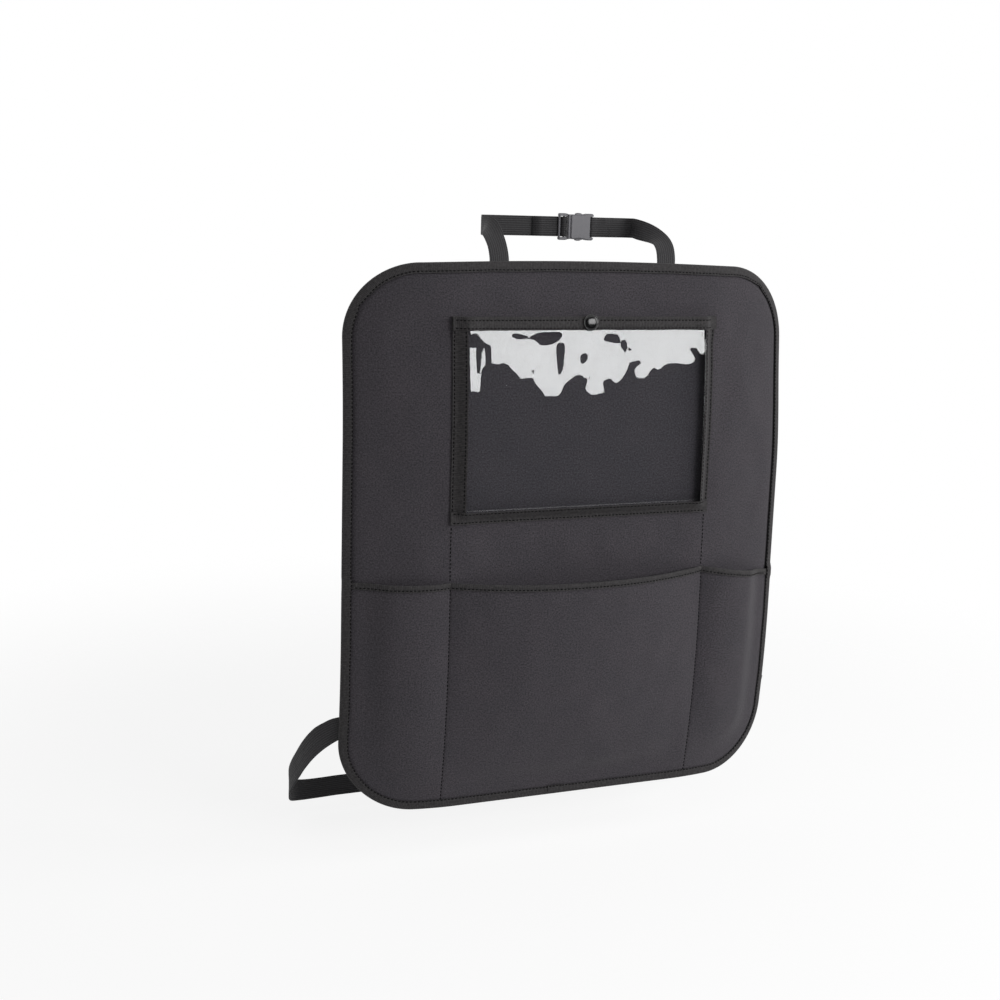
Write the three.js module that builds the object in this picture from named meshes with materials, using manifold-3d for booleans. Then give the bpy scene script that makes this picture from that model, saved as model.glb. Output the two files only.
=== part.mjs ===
// Car seat back organizer: a cloth panel with a clear tablet pocket, three lower pockets and two strap loops.
// Millimetres. X runs to the viewer's right, Y away from the viewer, Z up.
// The origin is the middle of the panel's back face, where it rests on the seat.
import * as THREE from 'three';
import { mergeVertices } from 'three/addons/utils/BufferGeometryUtils.js';
import Module from 'manifold-3d';

const { Vector3 } = THREE;
const { clamp, degToRad, lerp, smoothstep } = THREE.MathUtils;
const wasm = await Module();
wasm.setup();

// Outline of the whole panel, binding included
const WIDTH = 480.6;
const HEIGHT = 552.6;
const CORNER_RADIUS = 73;
const TOP_CROWN = 3.2; // the top edge drops this much from its middle to its corners

// How the panel wraps the seat back
const FLAT_HALF_WIDTH = 122;
const FLAT_HALF_HEIGHT = 90;
const SIDE_BEND_RADIUS = 236.6;
const END_BEND_RADIUS = 1085;
const RIGHT_SLACK = 0.2; // the right side wraps this share less from the window's middle down

// Layers
const PANEL_THICKNESS = 3;
const POCKET_CLOTH = 1.2;
const TAPE_THICKNESS = 1;
const FILM_THICKNESS = 0.5;
const LAYER_GAP = 0.35;
const BINDING_WIDTH = 9;

// Lower pockets
const SEAM_X = 139.5;
const POCKET_TOP_Z = -36;
const CENTRE_SAG = 3; // dip of the centre pocket's top edge
const RIGHT_POCKET_DROP = 14; // the right pocket's top edge falls this much towards the side
const HEM_WIDTH = 6.5;
const CENTRE_GAPE = 24;
const LEFT_GAPE = 8;
const RIGHT_GAPE = 11;
const GAPE_MARGIN = 8; // the pocket cloth stays flat this far past the binding
const GAPE_RISE = 26;

// Tablet pocket
const WINDOW_TAPE_WIDTH = 13;
const WINDOW_HALF_WIDTH = 141.5; // to the outer edges of the side tapes
const WINDOW_BOTTOM_Z = 22;
const WINDOW_TOP_Z = 223.6;
const WINDOW_PROUD = 8.3;
const WINDOW_SLOPE = 11;
const TAPE_MARGIN = 3; // how far a tape reaches past the film
const TOP_TAPE_OVERHANG = 2; // at its right end

// Press stud that closes the tablet pocket
const SNAP_Z = 216.5;
const SNAP_PULL = 1.75; // how far the closed stud draws the top tape in
const SNAP_HOLE_RADIUS = 2.15;
const SNAP_SEGMENTS = 18;

// Webbing: elastic below, a narrower band on top that goes round the headrest posts
const WEBBING_WIDTH = 23;
const WEBBING_THICKNESS = 1.4;
const TOP_SIZE = 20 / WEBBING_WIDTH; // top band and buckle against the lower ones
const SEWN_LENGTH = 30;
const SEWN_GAP = 0.9; // between the binding and webbing that is sewn behind it
const POST_X = 76;
const POST_Y = 80;
const POST_TURN_RADIUS = 8.2;
const TOP_STRAP_X = POST_X + 14;
const TOP_BAND_Z = HEIGHT / 2 + 31.7;
const TOP_BUCKLE = new Vector3(14, POST_Y + 6, TOP_BAND_Z);
const LOWER_STRAP_Z = 90.3 - HEIGHT / 2;
const LOWER_BAND_Y = 164;
const LOWER_BUCKLE = new Vector3(0, LOWER_BAND_Y + 4, LOWER_STRAP_Z - 116);
// The elastic's way from a side edge: out past the edge, share of the way back, and down. The right side hugs the seat.
const LEFT_WAY = [[6, 0, 8], [14.7, 0.11, 16], [22.7, 0.235, 33], [27.7, 0.4, 56], [29.7, 0.58, 80],
  [24.7, 0.75, 100], [12.7, 0.9, 111], [-8.3, 0.977, 115.5]];
const RIGHT_WAY = [[4, 0, 3], [8.5, 0.11, 8], [13.5, 0.235, 20], [17, 0.4, 42], [18, 0.58, 70],
  [14, 0.75, 95], [5, 0.9, 109], [-12, 0.977, 115.5]];

// Side-release buckle. U runs along the strap from the socket's mouth, V across it, W through it.
const BUCKLE_THICKNESS = 10;
const SOCKET_LENGTH = 29.7;
const SOCKET_HALF_WIDTH = 15.5;
const MOUTH_HALF_WIDTH = 14.4;
const CHAMBER_DEPTH = 22.9;
const CHAMBER_HALF_WIDTH = 12.8;
const CHAMBER_HEIGHT = 5.6;
const WINDOW_START = 6.8;
const WINDOW_END = 19.5;
const ARM_THICKNESS = 4.8;
const BAR_RADIUS = 1.5;
const SLOT_HALF_WIDTH = 12.2;
const LOOP_RADIUS = BAR_RADIUS + LAYER_GAP + WEBBING_THICKNESS / 2;
const SOCKET_BAR_U = 28.2;
const LADDER_BAR_U = -7;
const END_BAR_U = -13;
const END_BAR_RADIUS = 1.3;
const TAIL_END_U = -58;
const FOLDED_END_U = 52;

// Mesh fineness
const CORNER_STEPS = 8;
const PANEL_ROWS = 13;

const clothCharcoal = new THREE.MeshStandardMaterial({ color: '#3b383d', roughness: 0.95 });
const tapeBlack = new THREE.MeshStandardMaterial({ color: '#2d2c2d', roughness: 0.9 });
const webbingBlack = new THREE.MeshStandardMaterial({ color: '#29292b', roughness: 0.85 });
const clearFilm = new THREE.MeshStandardMaterial({
  color: '#e6eaec', roughness: 0.08, transparent: true, opacity: 0.35,
});
const greyPlastic = new THREE.MeshStandardMaterial({ color: '#66656a', roughness: 0.45 });
const blackLacquer = new THREE.MeshStandardMaterial({ color: '#121213', roughness: 0.25, metalness: 0.4 });

const bend = (over, radius) => (over <= 0 ? 0 : radius - Math.sqrt(radius ** 2 - over ** 2));

function backFace(x, z) {
  const slack = RIGHT_SLACK * smoothstep(x, 60, 180) * (1 - smoothstep(z, 60, 180));
  return bend(Math.abs(x) - FLAT_HALF_WIDTH, SIDE_BEND_RADIUS) * (1 - slack)
    + bend(Math.abs(z) - FLAT_HALF_HEIGHT, END_BEND_RADIUS);
}

/** The point at (x, z) that stands `offset` in front of the panel's back face. */
const onPanel = (x, z, offset) => new Vector3(x, backFace(x, z) - offset, z);

const SIDE_POCKET_WIDTH = WIDTH / 2 - BINDING_WIDTH - SEAM_X;
const CORNER_X = WIDTH / 2 - CORNER_RADIUS;
const CORNER_TOP_Z = HEIGHT / 2 - TOP_CROWN - CORNER_RADIUS;
const CORNER_BOTTOM_Z = CORNER_RADIUS - HEIGHT / 2;

/** Height of the outline's top edge at x, moved in by `inset`. */
function topEdge(x, inset) {
  const over = Math.abs(x) - CORNER_X;
  if (over <= 0) return HEIGHT / 2 - TOP_CROWN * (x / CORNER_X) ** 2 - inset;
  return CORNER_TOP_Z + Math.sqrt(Math.max((CORNER_RADIUS - inset) ** 2 - over ** 2, 0));
}

/** Height of the outline's bottom edge at x, moved in by `inset`. */
function bottomEdge(x, inset) {
  const over = Math.max(Math.abs(x) - CORNER_X, 0);
  return CORNER_BOTTOM_Z - Math.sqrt(Math.max((CORNER_RADIUS - inset) ** 2 - over ** 2, 0));
}

/** Distance from (x, z) to the outline, positive inside. */
function edgeDistance(x, z) {
  const across = Math.abs(x) - CORNER_X;
  const along = Math.max(z - CORNER_TOP_Z, CORNER_BOTTOM_Z - z);
  if (across > 0 && along > 0) return CORNER_RADIUS - Math.hypot(across, along);
  return Math.min(WIDTH / 2 - Math.abs(x), topEdge(x, 0) - z, z - bottomEdge(x, 0));
}

/** Top edge of the lower pockets at x. */
function pocketTop(x) {
  if (Math.abs(x) <= SEAM_X) return POCKET_TOP_Z - CENTRE_SAG * (1 - (x / SEAM_X) ** 2);
  return POCKET_TOP_Z - RIGHT_POCKET_DROP * clamp((x - SEAM_X) / SIDE_POCKET_WIDTH, 0, 1);
}

/** How far the pocket cloth stands off the panel: an arch between seams that closes towards the bottom. */
function gape(x, z) {
  const centre = Math.abs(x) <= SEAM_X;
  const across = centre ? x / SEAM_X : 2 * (Math.abs(x) - SEAM_X) / SIDE_POCKET_WIDTH - 1;
  const side = x < 0 ? LEFT_GAPE : RIGHT_GAPE;
  const arch = 1 - Math.min(Math.abs(across), 1) ** 2.2;
  const depth = (pocketTop(x) - z) / (pocketTop(x) - bottomEdge(0, BINDING_WIDTH));
  const closing = 1 - clamp(depth, 0, 1) ** 2.4;
  const free = smoothstep(edgeDistance(x, z) - BINDING_WIDTH - GAPE_MARGIN, 0, GAPE_RISE);
  return (centre ? CENTRE_GAPE : side) * arch * closing * free;
}

/** How far the window film's back stands in front of the panel's back face. */
function filmOffset(x, z) {
  const side = smoothstep(WINDOW_HALF_WIDTH - TAPE_MARGIN - Math.abs(x), 0, WINDOW_SLOPE);
  const low = smoothstep(z - WINDOW_BOTTOM_Z - TAPE_MARGIN, 0, WINDOW_SLOPE);
  const mouth = (TAPE_THICKNESS + 2 * LAYER_GAP) * smoothstep(z, 196, 209) * (1 - side);
  const pull = SNAP_PULL * (1 - smoothstep(Math.abs(x), 12, 70)) * smoothstep(z, 157, 209);
  return PANEL_THICKNESS + LAYER_GAP + WINDOW_PROUD * side * low + mouth - pull;
}

const filmFront = (x, z) => filmOffset(x, z) + FILM_THICKNESS;

/** Extra room that a tape crossing a side tape needs. */
const overSideTape = (x) => (TAPE_THICKNESS + LAYER_GAP) * smoothstep(Math.abs(x), 112, 126);

/** Geometry of one closed solid, its triangles turned to face outwards. */
function solid(vertices, triangles) {
  const volume = triangles.reduce((sum, [a, b, c]) => sum
    + new Vector3().crossVectors(vertices[b], vertices[c]).dot(vertices[a]) / 6, 0);
  const faces = volume < 0 ? triangles.map(([a, b, c]) => [a, c, b]) : triangles;
  const geometry = new THREE.BufferGeometry().setFromPoints(vertices);
  geometry.setIndex(faces.flat());
  geometry.computeVertexNormals();
  return geometry;
}

/**
 * Closed solid between two grids of points of one size, each grid[i][j].
 * With `closed` the last column joins the first, as round a ring.
 */
function slab(front, back, closed = false) {
  const columns = front.length;
  const rows = front[0].length;
  const at = (side, i, j) => (side * columns + i % columns) * rows + j;
  const triangles = [];
  const quad = (a, b, c, d) => triangles.push([a, b, c], [a, c, d]);
  const strips = closed ? columns : columns - 1;
  for (let i = 0; i < strips; i += 1) {
    for (let j = 0; j < rows - 1; j += 1) {
      quad(at(0, i, j), at(0, i + 1, j), at(0, i + 1, j + 1), at(0, i, j + 1));
      quad(at(1, i, j), at(1, i, j + 1), at(1, i + 1, j + 1), at(1, i + 1, j));
    }
    quad(at(0, i, 0), at(1, i, 0), at(1, i + 1, 0), at(0, i + 1, 0));
    quad(at(0, i, rows - 1), at(0, i + 1, rows - 1), at(1, i + 1, rows - 1), at(1, i, rows - 1));
  }
  for (let j = 0; j < rows - 1 && !closed; j += 1) {
    quad(at(0, 0, j), at(0, 0, j + 1), at(1, 0, j + 1), at(1, 0, j));
    quad(at(0, strips, j), at(1, strips, j), at(1, strips, j + 1), at(0, strips, j + 1));
  }
  return solid([...front.flat(), ...back.flat()], triangles);
}

/** A cloth over the given columns and rows, between two offsets from the panel's back face. */
function cloth(columns, rowsAt, backOffset, frontOffset) {
  const grid = (offset) => columns.map((x) => rowsAt(x).map((z) => onPanel(x, z, offset(x, z))));
  return slab(grid(frontOffset), grid(backOffset));
}

/** One geometry with shared corners and no empty triangles, as the solid cutter needs. */
function weld(geometry) {
  const bare = geometry.clone();
  bare.deleteAttribute('normal');
  bare.deleteAttribute('uv');
  const merged = mergeVertices(bare, 1e-4);
  const index = merged.index.array;
  const triangles = [];
  for (let i = 0; i < index.length; i += 3) {
    const [a, b, c] = index.slice(i, i + 3);
    if (a !== b && b !== c && c !== a) triangles.push([a, b, c]);
  }
  const position = merged.attributes.position;
  const vertices = Array.from({ length: position.count }, (_, i) => new Vector3().fromBufferAttribute(position, i));
  return solid(vertices, triangles);
}

const toSolid = (geometry) => new wasm.Manifold(new wasm.Mesh({
  numProp: 3,
  vertProperties: new Float32Array(geometry.attributes.position.array),
  triVerts: new Uint32Array(geometry.index.array),
}));

function fromSolid(body) {
  const mesh = body.getMesh();
  const geometry = new THREE.BufferGeometry();
  geometry.setAttribute('position', new THREE.BufferAttribute(mesh.vertProperties, 3));
  geometry.setIndex(new THREE.BufferAttribute(mesh.triVerts, 1));
  geometry.computeVertexNormals();
  return geometry;
}

const box = (x0, x1, y0, y1, z0, z1) => toSolid(weld(
  new THREE.BoxGeometry(x1 - x0, y1 - y0, z1 - z0).translate((x0 + x1) / 2, (y0 + y1) / 2, (z0 + z1) / 2),
));

function piece(name, geometry, material) {
  const mesh = new THREE.Mesh(geometry, material);
  mesh.name = name;
  return mesh;
}

/** Column positions round a corner, from its start to the side edge moved in by `inset`. */
const cornerColumns = (inset) => Array.from({ length: CORNER_STEPS + 1 }, (_, k) => CORNER_X
  + (CORNER_RADIUS - inset) * Math.sin(degToRad(90 * k / CORNER_STEPS)));

const SPAN_COLUMNS = [30.5, 61, 91.5, 122, 133, 144.5, 156];
const STRAIGHT_COLUMNS = [...SPAN_COLUMNS.map((x) => -x).reverse(), 0, ...SPAN_COLUMNS];

// The panel's edge lies inside the fold of the binding
const PANEL_INSET = TAPE_THICKNESS + LAYER_GAP;

function panelGeometry() {
  const corner = cornerColumns(PANEL_INSET);
  const columns = [...corner.map((x) => -x).reverse(), ...STRAIGHT_COLUMNS, ...corner];
  const rowsAt = (x) => Array.from({ length: PANEL_ROWS + 1 }, (_, j) => lerp(
    bottomEdge(x, PANEL_INSET),
    topEdge(x, PANEL_INSET),
    j / PANEL_ROWS,
  ));
  return withSnapHole(cloth(columns, rowsAt, () => 0, () => PANEL_THICKNESS));
}

// Heights from the pocket's top edge at which the binding steps over the hem and back to the bare panel
const CAUGHT_STEPS = [-HEM_WIDTH - 11, -HEM_WIDTH - 3, 3, 11];

/** Points round the outline with the direction that leads inwards, counter-clockwise from the bottom left. */
function outlineStations() {
  const across = [-CORNER_X, ...STRAIGHT_COLUMNS, CORNER_X];
  const even = Array.from({ length: 15 }, (_, k) => lerp(CORNER_BOTTOM_Z, CORNER_TOP_Z, k / 14));
  const corner = (x, z, start) => Array.from({ length: CORNER_STEPS - 1 }, (_, k) => {
    const angle = degToRad(start + 90 * (k + 1) / CORNER_STEPS);
    const out = new THREE.Vector2(Math.cos(angle), Math.sin(angle));
    return { x: x + CORNER_RADIUS * out.x, z: z + CORNER_RADIUS * out.y, inX: -out.x, inZ: -out.y };
  });
  const side = (x) => [...even, ...CAUGHT_STEPS.map((step) => pocketTop(x) + step)]
    .sort((a, b) => a - b)
    .map((z) => ({ x, z, inX: -Math.sign(x), inZ: 0 }));
  return [
    ...across.map((x) => ({ x, z: bottomEdge(x, 0), inX: 0, inZ: 1 })),
    ...corner(CORNER_X, CORNER_BOTTOM_Z, -90),
    ...side(WIDTH / 2),
    ...corner(CORNER_X, CORNER_TOP_Z, 0),
    ...across.toReversed().map((x) => ({ x, z: topEdge(x, 0), inX: 0, inZ: -1 })),
    ...corner(-CORNER_X, CORNER_TOP_Z, 90),
    ...side(-WIDTH / 2).toReversed(),
    ...corner(-CORNER_X, CORNER_BOTTOM_Z, 180),
  ];
}

/** Room that the binding's front leg leaves over the panel: more where the pocket cloth or its hem is caught. */
function caughtLayers(x, z) {
  const [hemOut, hemIn, topIn, topOut] = CAUGHT_STEPS.map((step) => pocketTop(x) + step);
  const below = 1 - smoothstep(z, topIn, topOut);
  const sheet = (POCKET_CLOTH + LAYER_GAP) * below;
  const hem = POCKET_CLOTH * smoothstep(z, hemOut, hemIn) * below;
  return PANEL_THICKNESS + LAYER_GAP + sheet + hem;
}

/** Tape folded over the edge: the outer and inner contour of its U, from the front leg to the back leg. */
function bindingGeometry() {
  const round = TAPE_THICKNESS / 2;
  const stations = outlineStations();
  const contour = ({ x, z, inX, inZ }, points) => points.map(([inset, offset]) => onPanel(
    x + inset * inX,
    z + inset * inZ,
    offset,
  ));
  const outer = stations.map((s) => {
    const front = caughtLayers(s.x, s.z) + TAPE_THICKNESS;
    const back = -LAYER_GAP - TAPE_THICKNESS;
    return contour(s, [[BINDING_WIDTH, front], [round, front], [0, (front + back) / 2], [round, back],
      [BINDING_WIDTH, back]]);
  });
  const inner = stations.map((s) => {
    const front = caughtLayers(s.x, s.z);
    const wall = TAPE_THICKNESS;
    return contour(s, [[BINDING_WIDTH, front], [wall + 0.1, front], [wall, (front - LAYER_GAP) / 2],
      [wall + 0.1, -LAYER_GAP], [BINDING_WIDTH, -LAYER_GAP]]);
  });
  return slab(outer, inner, true);
}

/** One sheet across all three lower pockets, its hem folded double along the top. */
function lowerPocketGeometry() {
  const corner = cornerColumns(PANEL_INSET);
  const half = [20, 45, 70, 92, 110, 124, 133, SEAM_X, 146, 156, ...corner];
  const columns = [...half.map((x) => -x).reverse(), 0, ...half];
  const depths = [0, 0.055, 0.14, 0.28, 0.44, 0.62, 0.8, 1];
  const rowsAt = (x) => {
    const low = bottomEdge(x, PANEL_INSET);
    const hemLow = pocketTop(x) - HEM_WIDTH;
    return [...depths.map((d) => lerp(low, hemLow, d)), hemLow + 0.4, pocketTop(x)];
  };
  const backOffset = (x, z) => PANEL_THICKNESS + LAYER_GAP + gape(x, z);
  const inHem = (x, z) => z > pocketTop(x) - HEM_WIDTH + 0.2;
  const frontOffset = (x, z) => backOffset(x, z) + POCKET_CLOTH * (inHem(x, z) ? 2 : 1);
  return cloth(columns, rowsAt, backOffset, frontOffset);
}

const slopeSteps = [0, 0.25, 0.5, 0.75, 1].map((t) => t * WINDOW_SLOPE);
const FILM_HALF_WIDTH = WINDOW_HALF_WIDTH - TAPE_MARGIN;
const FILM_BOTTOM_Z = WINDOW_BOTTOM_Z + TAPE_MARGIN;
const FILM_TOP_Z = WINDOW_TOP_Z - TAPE_THICKNESS - LAYER_GAP;
const FILM_SLOPE_X = slopeSteps.map((step) => FILM_HALF_WIDTH - step).reverse();
const FILM_SLOPE_Z = slopeSteps.map((step) => FILM_BOTTOM_Z + step);
const FILM_X = [12, 26, 41, 55, 70, 112, ...FILM_SLOPE_X];
const FILM_COLUMNS = [...FILM_X.map((x) => -x).reverse(), 0, ...FILM_X];
const FILM_ROWS = [...FILM_SLOPE_Z, 90, 157, 183, 196, 209];

const filmGeometry = () => withSnapHole(cloth(
  FILM_COLUMNS,
  () => [...FILM_ROWS, FILM_TOP_Z],
  filmOffset,
  filmFront,
));

/** Ribbed tape down one side of the window, `side` -1 for the left. */
function sideTapeGeometry(side) {
  const inner = WINDOW_HALF_WIDTH - WINDOW_TAPE_WIDTH;
  const half = [inner, ...FILM_SLOPE_X.filter((x) => x > inner), WINDOW_HALF_WIDTH];
  const columns = side < 0 ? half.map((x) => -x).reverse() : half;
  const rows = [FILM_BOTTOM_Z - 1, ...FILM_ROWS, FILM_TOP_Z - 0.5];
  const back = (x, z) => filmFront(x, z) + LAYER_GAP;
  return cloth(columns, () => rows, back, (x, z) => back(x, z) + TAPE_THICKNESS);
}

/** Ribbed tape along the bottom of the window, over the ends of the side tapes. */
function bottomTapeGeometry() {
  const ends = [-WINDOW_HALF_WIDTH, ...FILM_COLUMNS, WINDOW_HALF_WIDTH];
  const top = WINDOW_BOTTOM_Z + WINDOW_TAPE_WIDTH;
  const rows = [WINDOW_BOTTOM_Z, ...FILM_SLOPE_Z.filter((z) => z < top), top];
  const back = (x, z) => filmFront(x, z) + LAYER_GAP + overSideTape(x);
  return cloth(ends, () => rows, back, (x, z) => back(x, z) + TAPE_THICKNESS);
}

/** Ribbed tape folded over the film's free top edge. */
function topTapeGeometry() {
  const columns = [-WINDOW_HALF_WIDTH, ...FILM_COLUMNS, WINDOW_HALF_WIDTH + TOP_TAPE_OVERHANG];
  const low = WINDOW_TOP_Z - WINDOW_TAPE_WIDTH;
  const round = TAPE_THICKNESS / 2;
  const contour = (x, points) => points.map(([z, offset]) => onPanel(x, z, offset));
  const legs = columns.map((x) => ({
    x,
    front: filmFront(x, low) + LAYER_GAP + overSideTape(x),
    back: filmOffset(x, low) - LAYER_GAP,
  }));
  const outer = legs.map(({ x, front, back }) => contour(x, [
    [low, front + TAPE_THICKNESS],
    [WINDOW_TOP_Z - round, front + TAPE_THICKNESS],
    [WINDOW_TOP_Z, (front + back) / 2],
    [WINDOW_TOP_Z - round, back - TAPE_THICKNESS],
    [low, back - TAPE_THICKNESS],
  ]));
  const fold = WINDOW_TOP_Z - TAPE_THICKNESS;
  const inner = legs.map(({ x, front, back }) => contour(x, [
    [low, front],
    [fold - 0.1, front],
    [fold, (front + back) / 2],
    [fold - 0.1, back],
    [low, back],
  ]));
  return withSnapHole(slab(outer, inner));
}

// The press stud stands square on the panel, which leans back a little at its height
const SNAP_TILT = Math.asin((SNAP_Z - FLAT_HALF_HEIGHT) / END_BEND_RADIUS);

/** Places something whose own +Y points out of the panel, with its zero on the panel's back face. */
function seatAtSnap(object) {
  object.position.copy(onPanel(0, SNAP_Z, 0));
  object.rotation.x = Math.PI - SNAP_TILT;
  object.updateMatrix();
  return object;
}

function withSnapHole(geometry) {
  const drill = new THREE.CylinderGeometry(SNAP_HOLE_RADIUS, SNAP_HOLE_RADIUS, 60, SNAP_SEGMENTS);
  const placed = weld(drill).applyMatrix4(seatAtSnap(new THREE.Object3D()).matrix);
  return fromSolid(toSolid(geometry).subtract(toSolid(placed)));
}

/** A turned part from its half profile, listed as [radius, height]. */
function turned(profile) {
  const points = profile.map(([r, h]) => new THREE.Vector2(r, h));
  return weld(new THREE.LatheGeometry(points, SNAP_SEGMENTS));
}

function pressStud() {
  const hole = SNAP_HOLE_RADIUS;
  const shank = hole - LAYER_GAP;
  const backPost = turned([[0, -1.35], [4.6, -1.35], [5, -1], [5, -LAYER_GAP], [shank, -LAYER_GAP],
    [shank, 5.4], [1.3, 5.8], [1, 5.4], [1, 0.2], [0, 0.2]]);
  const stud = turned([[hole, 3.35], [5.2, 3.35], [5.2, 4.05], [2.95, 4.15], [2.7, 5.3], [3, 6.3],
    [2.6, 7], [hole, 7], [hole, 3.35]]);
  const socket = turned([[hole, 7.4], [3.35, 7.4], [3.35, 4.9], [3.7, 4.55], [5, 4.55], [5.4, 5],
    [5.4, 7.8], [5.1, 8.1], [hole, 8.1], [hole, 7.4]]);
  const cap = turned([[0, 7.6], [1.4, 7.6], [shank, 8], [shank, 12.15], [7.2, 12.15], [7.5, 12.5],
    [7.5, 13.1], [7.1, 13.5], [6.4, 13.3], [5.6, 13.75], [4.3, 14.3], [2.7, 14.65], [1.3, 14.8], [0, 14.85]]);
  const group = seatAtSnap(new THREE.Group());
  group.add(
    piece('snap_back_post', backPost, blackLacquer),
    piece('snap_stud', stud, blackLacquer),
    piece('snap_socket', socket, blackLacquer),
    piece('snap_cap', cap, blackLacquer),
  );
  return group;
}

const station = (x, y, z, lean = 90) => ({
  at: new Vector3(x, y, z),
  across: new Vector3(Math.cos(degToRad(lean)), 0, Math.sin(degToRad(lean))),
});

/** Smooth run through stations, `steps` sections from each to the next. */
function eased(stations, steps) {
  const curve = new THREE.CatmullRomCurve3(stations.map((s) => s.at), false, 'centripetal');
  const last = stations.length - 1;
  return Array.from({ length: last * steps + 1 }, (_, k) => {
    const from = stations[Math.floor(k / steps)];
    const to = stations[Math.min(Math.floor(k / steps) + 1, last)];
    return {
      at: curve.getPoint(k / (last * steps)),
      across: new Vector3().lerpVectors(from.across, to.across, (k % steps) / steps).normalize(),
    };
  });
}

/** Flat webbing through stations, its width along each station's `across`, `size` against the elastic. */
function webbing(stations, size) {
  const last = stations.length - 1;
  const edges = (side) => stations.map(({ at, across }, i) => {
    const run = new Vector3().subVectors(stations[Math.min(i + 1, last)].at, stations[Math.max(i - 1, 0)].at);
    const normal = new Vector3().crossVectors(across, run).normalize();
    const width = new Vector3().crossVectors(run, normal).normalize().multiplyScalar(size * WEBBING_WIDTH / 2);
    const face = at.clone().addScaledVector(normal, side * size * WEBBING_THICKNESS / 2);
    return [face.clone().sub(width), face.clone().add(width)];
  });
  return slab(edges(1), edges(-1));
}

/** Webbing sewn flat behind the panel, outside the binding. */
const SEWN_OFFSET = -(LAYER_GAP + TAPE_THICKNESS + SEWN_GAP + WEBBING_THICKNESS / 2);

function sewn(x, z, lean = 90) {
  const half = WEBBING_WIDTH / 2;
  const dx = half * Math.cos(degToRad(lean));
  const dz = half * Math.sin(degToRad(lean));
  const from = onPanel(x - dx, z - dz, SEWN_OFFSET);
  const to = onPanel(x + dx, z + dz, SEWN_OFFSET);
  return { at: onPanel(x, z, SEWN_OFFSET), across: to.sub(from).normalize() };
}

/** Stations from points [u, w] beside a buckle whose W axis points along `outward` times Y. */
const besideBuckle = (buckle, outward, size, points) => points.map(([u, w]) => station(
  buckle.x + size * u,
  buckle.y + outward * size * w,
  buckle.z,
));

const arcPoints = (u, w, radius, from, to) => {
  const arc = new THREE.Path().absarc(u, w, radius, degToRad(from), degToRad(to), to < from);
  return arc.getPoints(8).map((p) => [p.x, p.y]);
};

/** Webbing round the ladder bar, with its loose tail back between the end bar and the loaded run. */
const ladderRun = () => [
  [TAIL_END_U, -4.3],
  [-12.5, -4.3],
  [-10.4, -3.75],
  [-8.6, -2.9],
  ...arcPoints(LADDER_BAR_U, 0, LOOP_RADIUS, -90, 90),
  [-8.3, 2.4],
  [-9.5, 1.3],
  [-10, 0],
  [-10.5, -1.1],
  [-11.6, -2.2],
  [-13.2, -2.55],
  [TAIL_END_U + 12, -2.55],
];

/** Webbing round the socket's end bar, sewn back on itself. */
const sewnLoopRun = () => {
  const half = (LAYER_GAP + WEBBING_THICKNESS) / 2;
  return [
    [FOLDED_END_U + 4, -half],
    [35, -half],
    [31.5, -2.2],
    ...arcPoints(SOCKET_BAR_U, 0, LOOP_RADIUS, -90, -270),
    [31.5, 2.2],
    [35, half],
    [FOLDED_END_U, half],
  ];
};

/** Round the outside and the far side of a headrest post, `side` -1 for the left one. */
const roundPost = (side) => Array.from({ length: 5 }, (_, k) => {
  const angle = degToRad(90 * k / 4);
  return station(
    side * (POST_X + POST_TURN_RADIUS * Math.cos(angle)),
    POST_Y + POST_TURN_RADIUS * Math.sin(angle),
    TOP_BAND_Z,
  );
});

function topStraps() {
  const edge = TOP_BAND_Z - 32;
  const left = [
    sewn(-TOP_STRAP_X, edge - SEWN_LENGTH, 0),
    sewn(-TOP_STRAP_X, edge - 14, 0),
    sewn(-TOP_STRAP_X + 1, edge, 0),
    station(-TOP_STRAP_X + 2, POST_Y - 53, TOP_BAND_Z - 20, 2),
    station(-TOP_STRAP_X + 2.5, POST_Y - 40, TOP_BAND_Z - 9, 14),
    station(-TOP_STRAP_X + 3, POST_Y - 28, TOP_BAND_Z - 2.5, 35),
    station(-POST_X - 10, POST_Y - 17, TOP_BAND_Z, 62),
    station(-POST_X - 8.8, POST_Y - 8, TOP_BAND_Z, 82),
  ];
  const right = [
    sewn(TOP_STRAP_X + 1, edge - SEWN_LENGTH, 0),
    sewn(TOP_STRAP_X + 1, edge - 14, 0),
    sewn(TOP_STRAP_X + 2, edge, 0),
    station(TOP_STRAP_X + 4.5, POST_Y - 54, TOP_BAND_Z - 22, 2),
    station(TOP_STRAP_X + 6.5, POST_Y - 43, TOP_BAND_Z - 13.5, 12),
    station(TOP_STRAP_X + 5, POST_Y - 31, TOP_BAND_Z - 8, 32),
    station(POST_X + 14.5, POST_Y - 20, TOP_BAND_Z - 4, 56),
    station(POST_X + 10.2, POST_Y - 10, TOP_BAND_Z - 1.5, 78),
  ];
  const toLadder = besideBuckle(TOP_BUCKLE, -1, TOP_SIZE, ladderRun());
  const toSocket = besideBuckle(TOP_BUCKLE, -1, TOP_SIZE, sewnLoopRun());
  return [
    piece('top_strap_left', webbing([...eased(left, 2), ...roundPost(-1), ...toLadder], TOP_SIZE), webbingBlack),
    piece('top_strap_right', webbing([...eased(right, 2), ...roundPost(1), ...toSocket], TOP_SIZE), webbingBlack),
  ];
}

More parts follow.
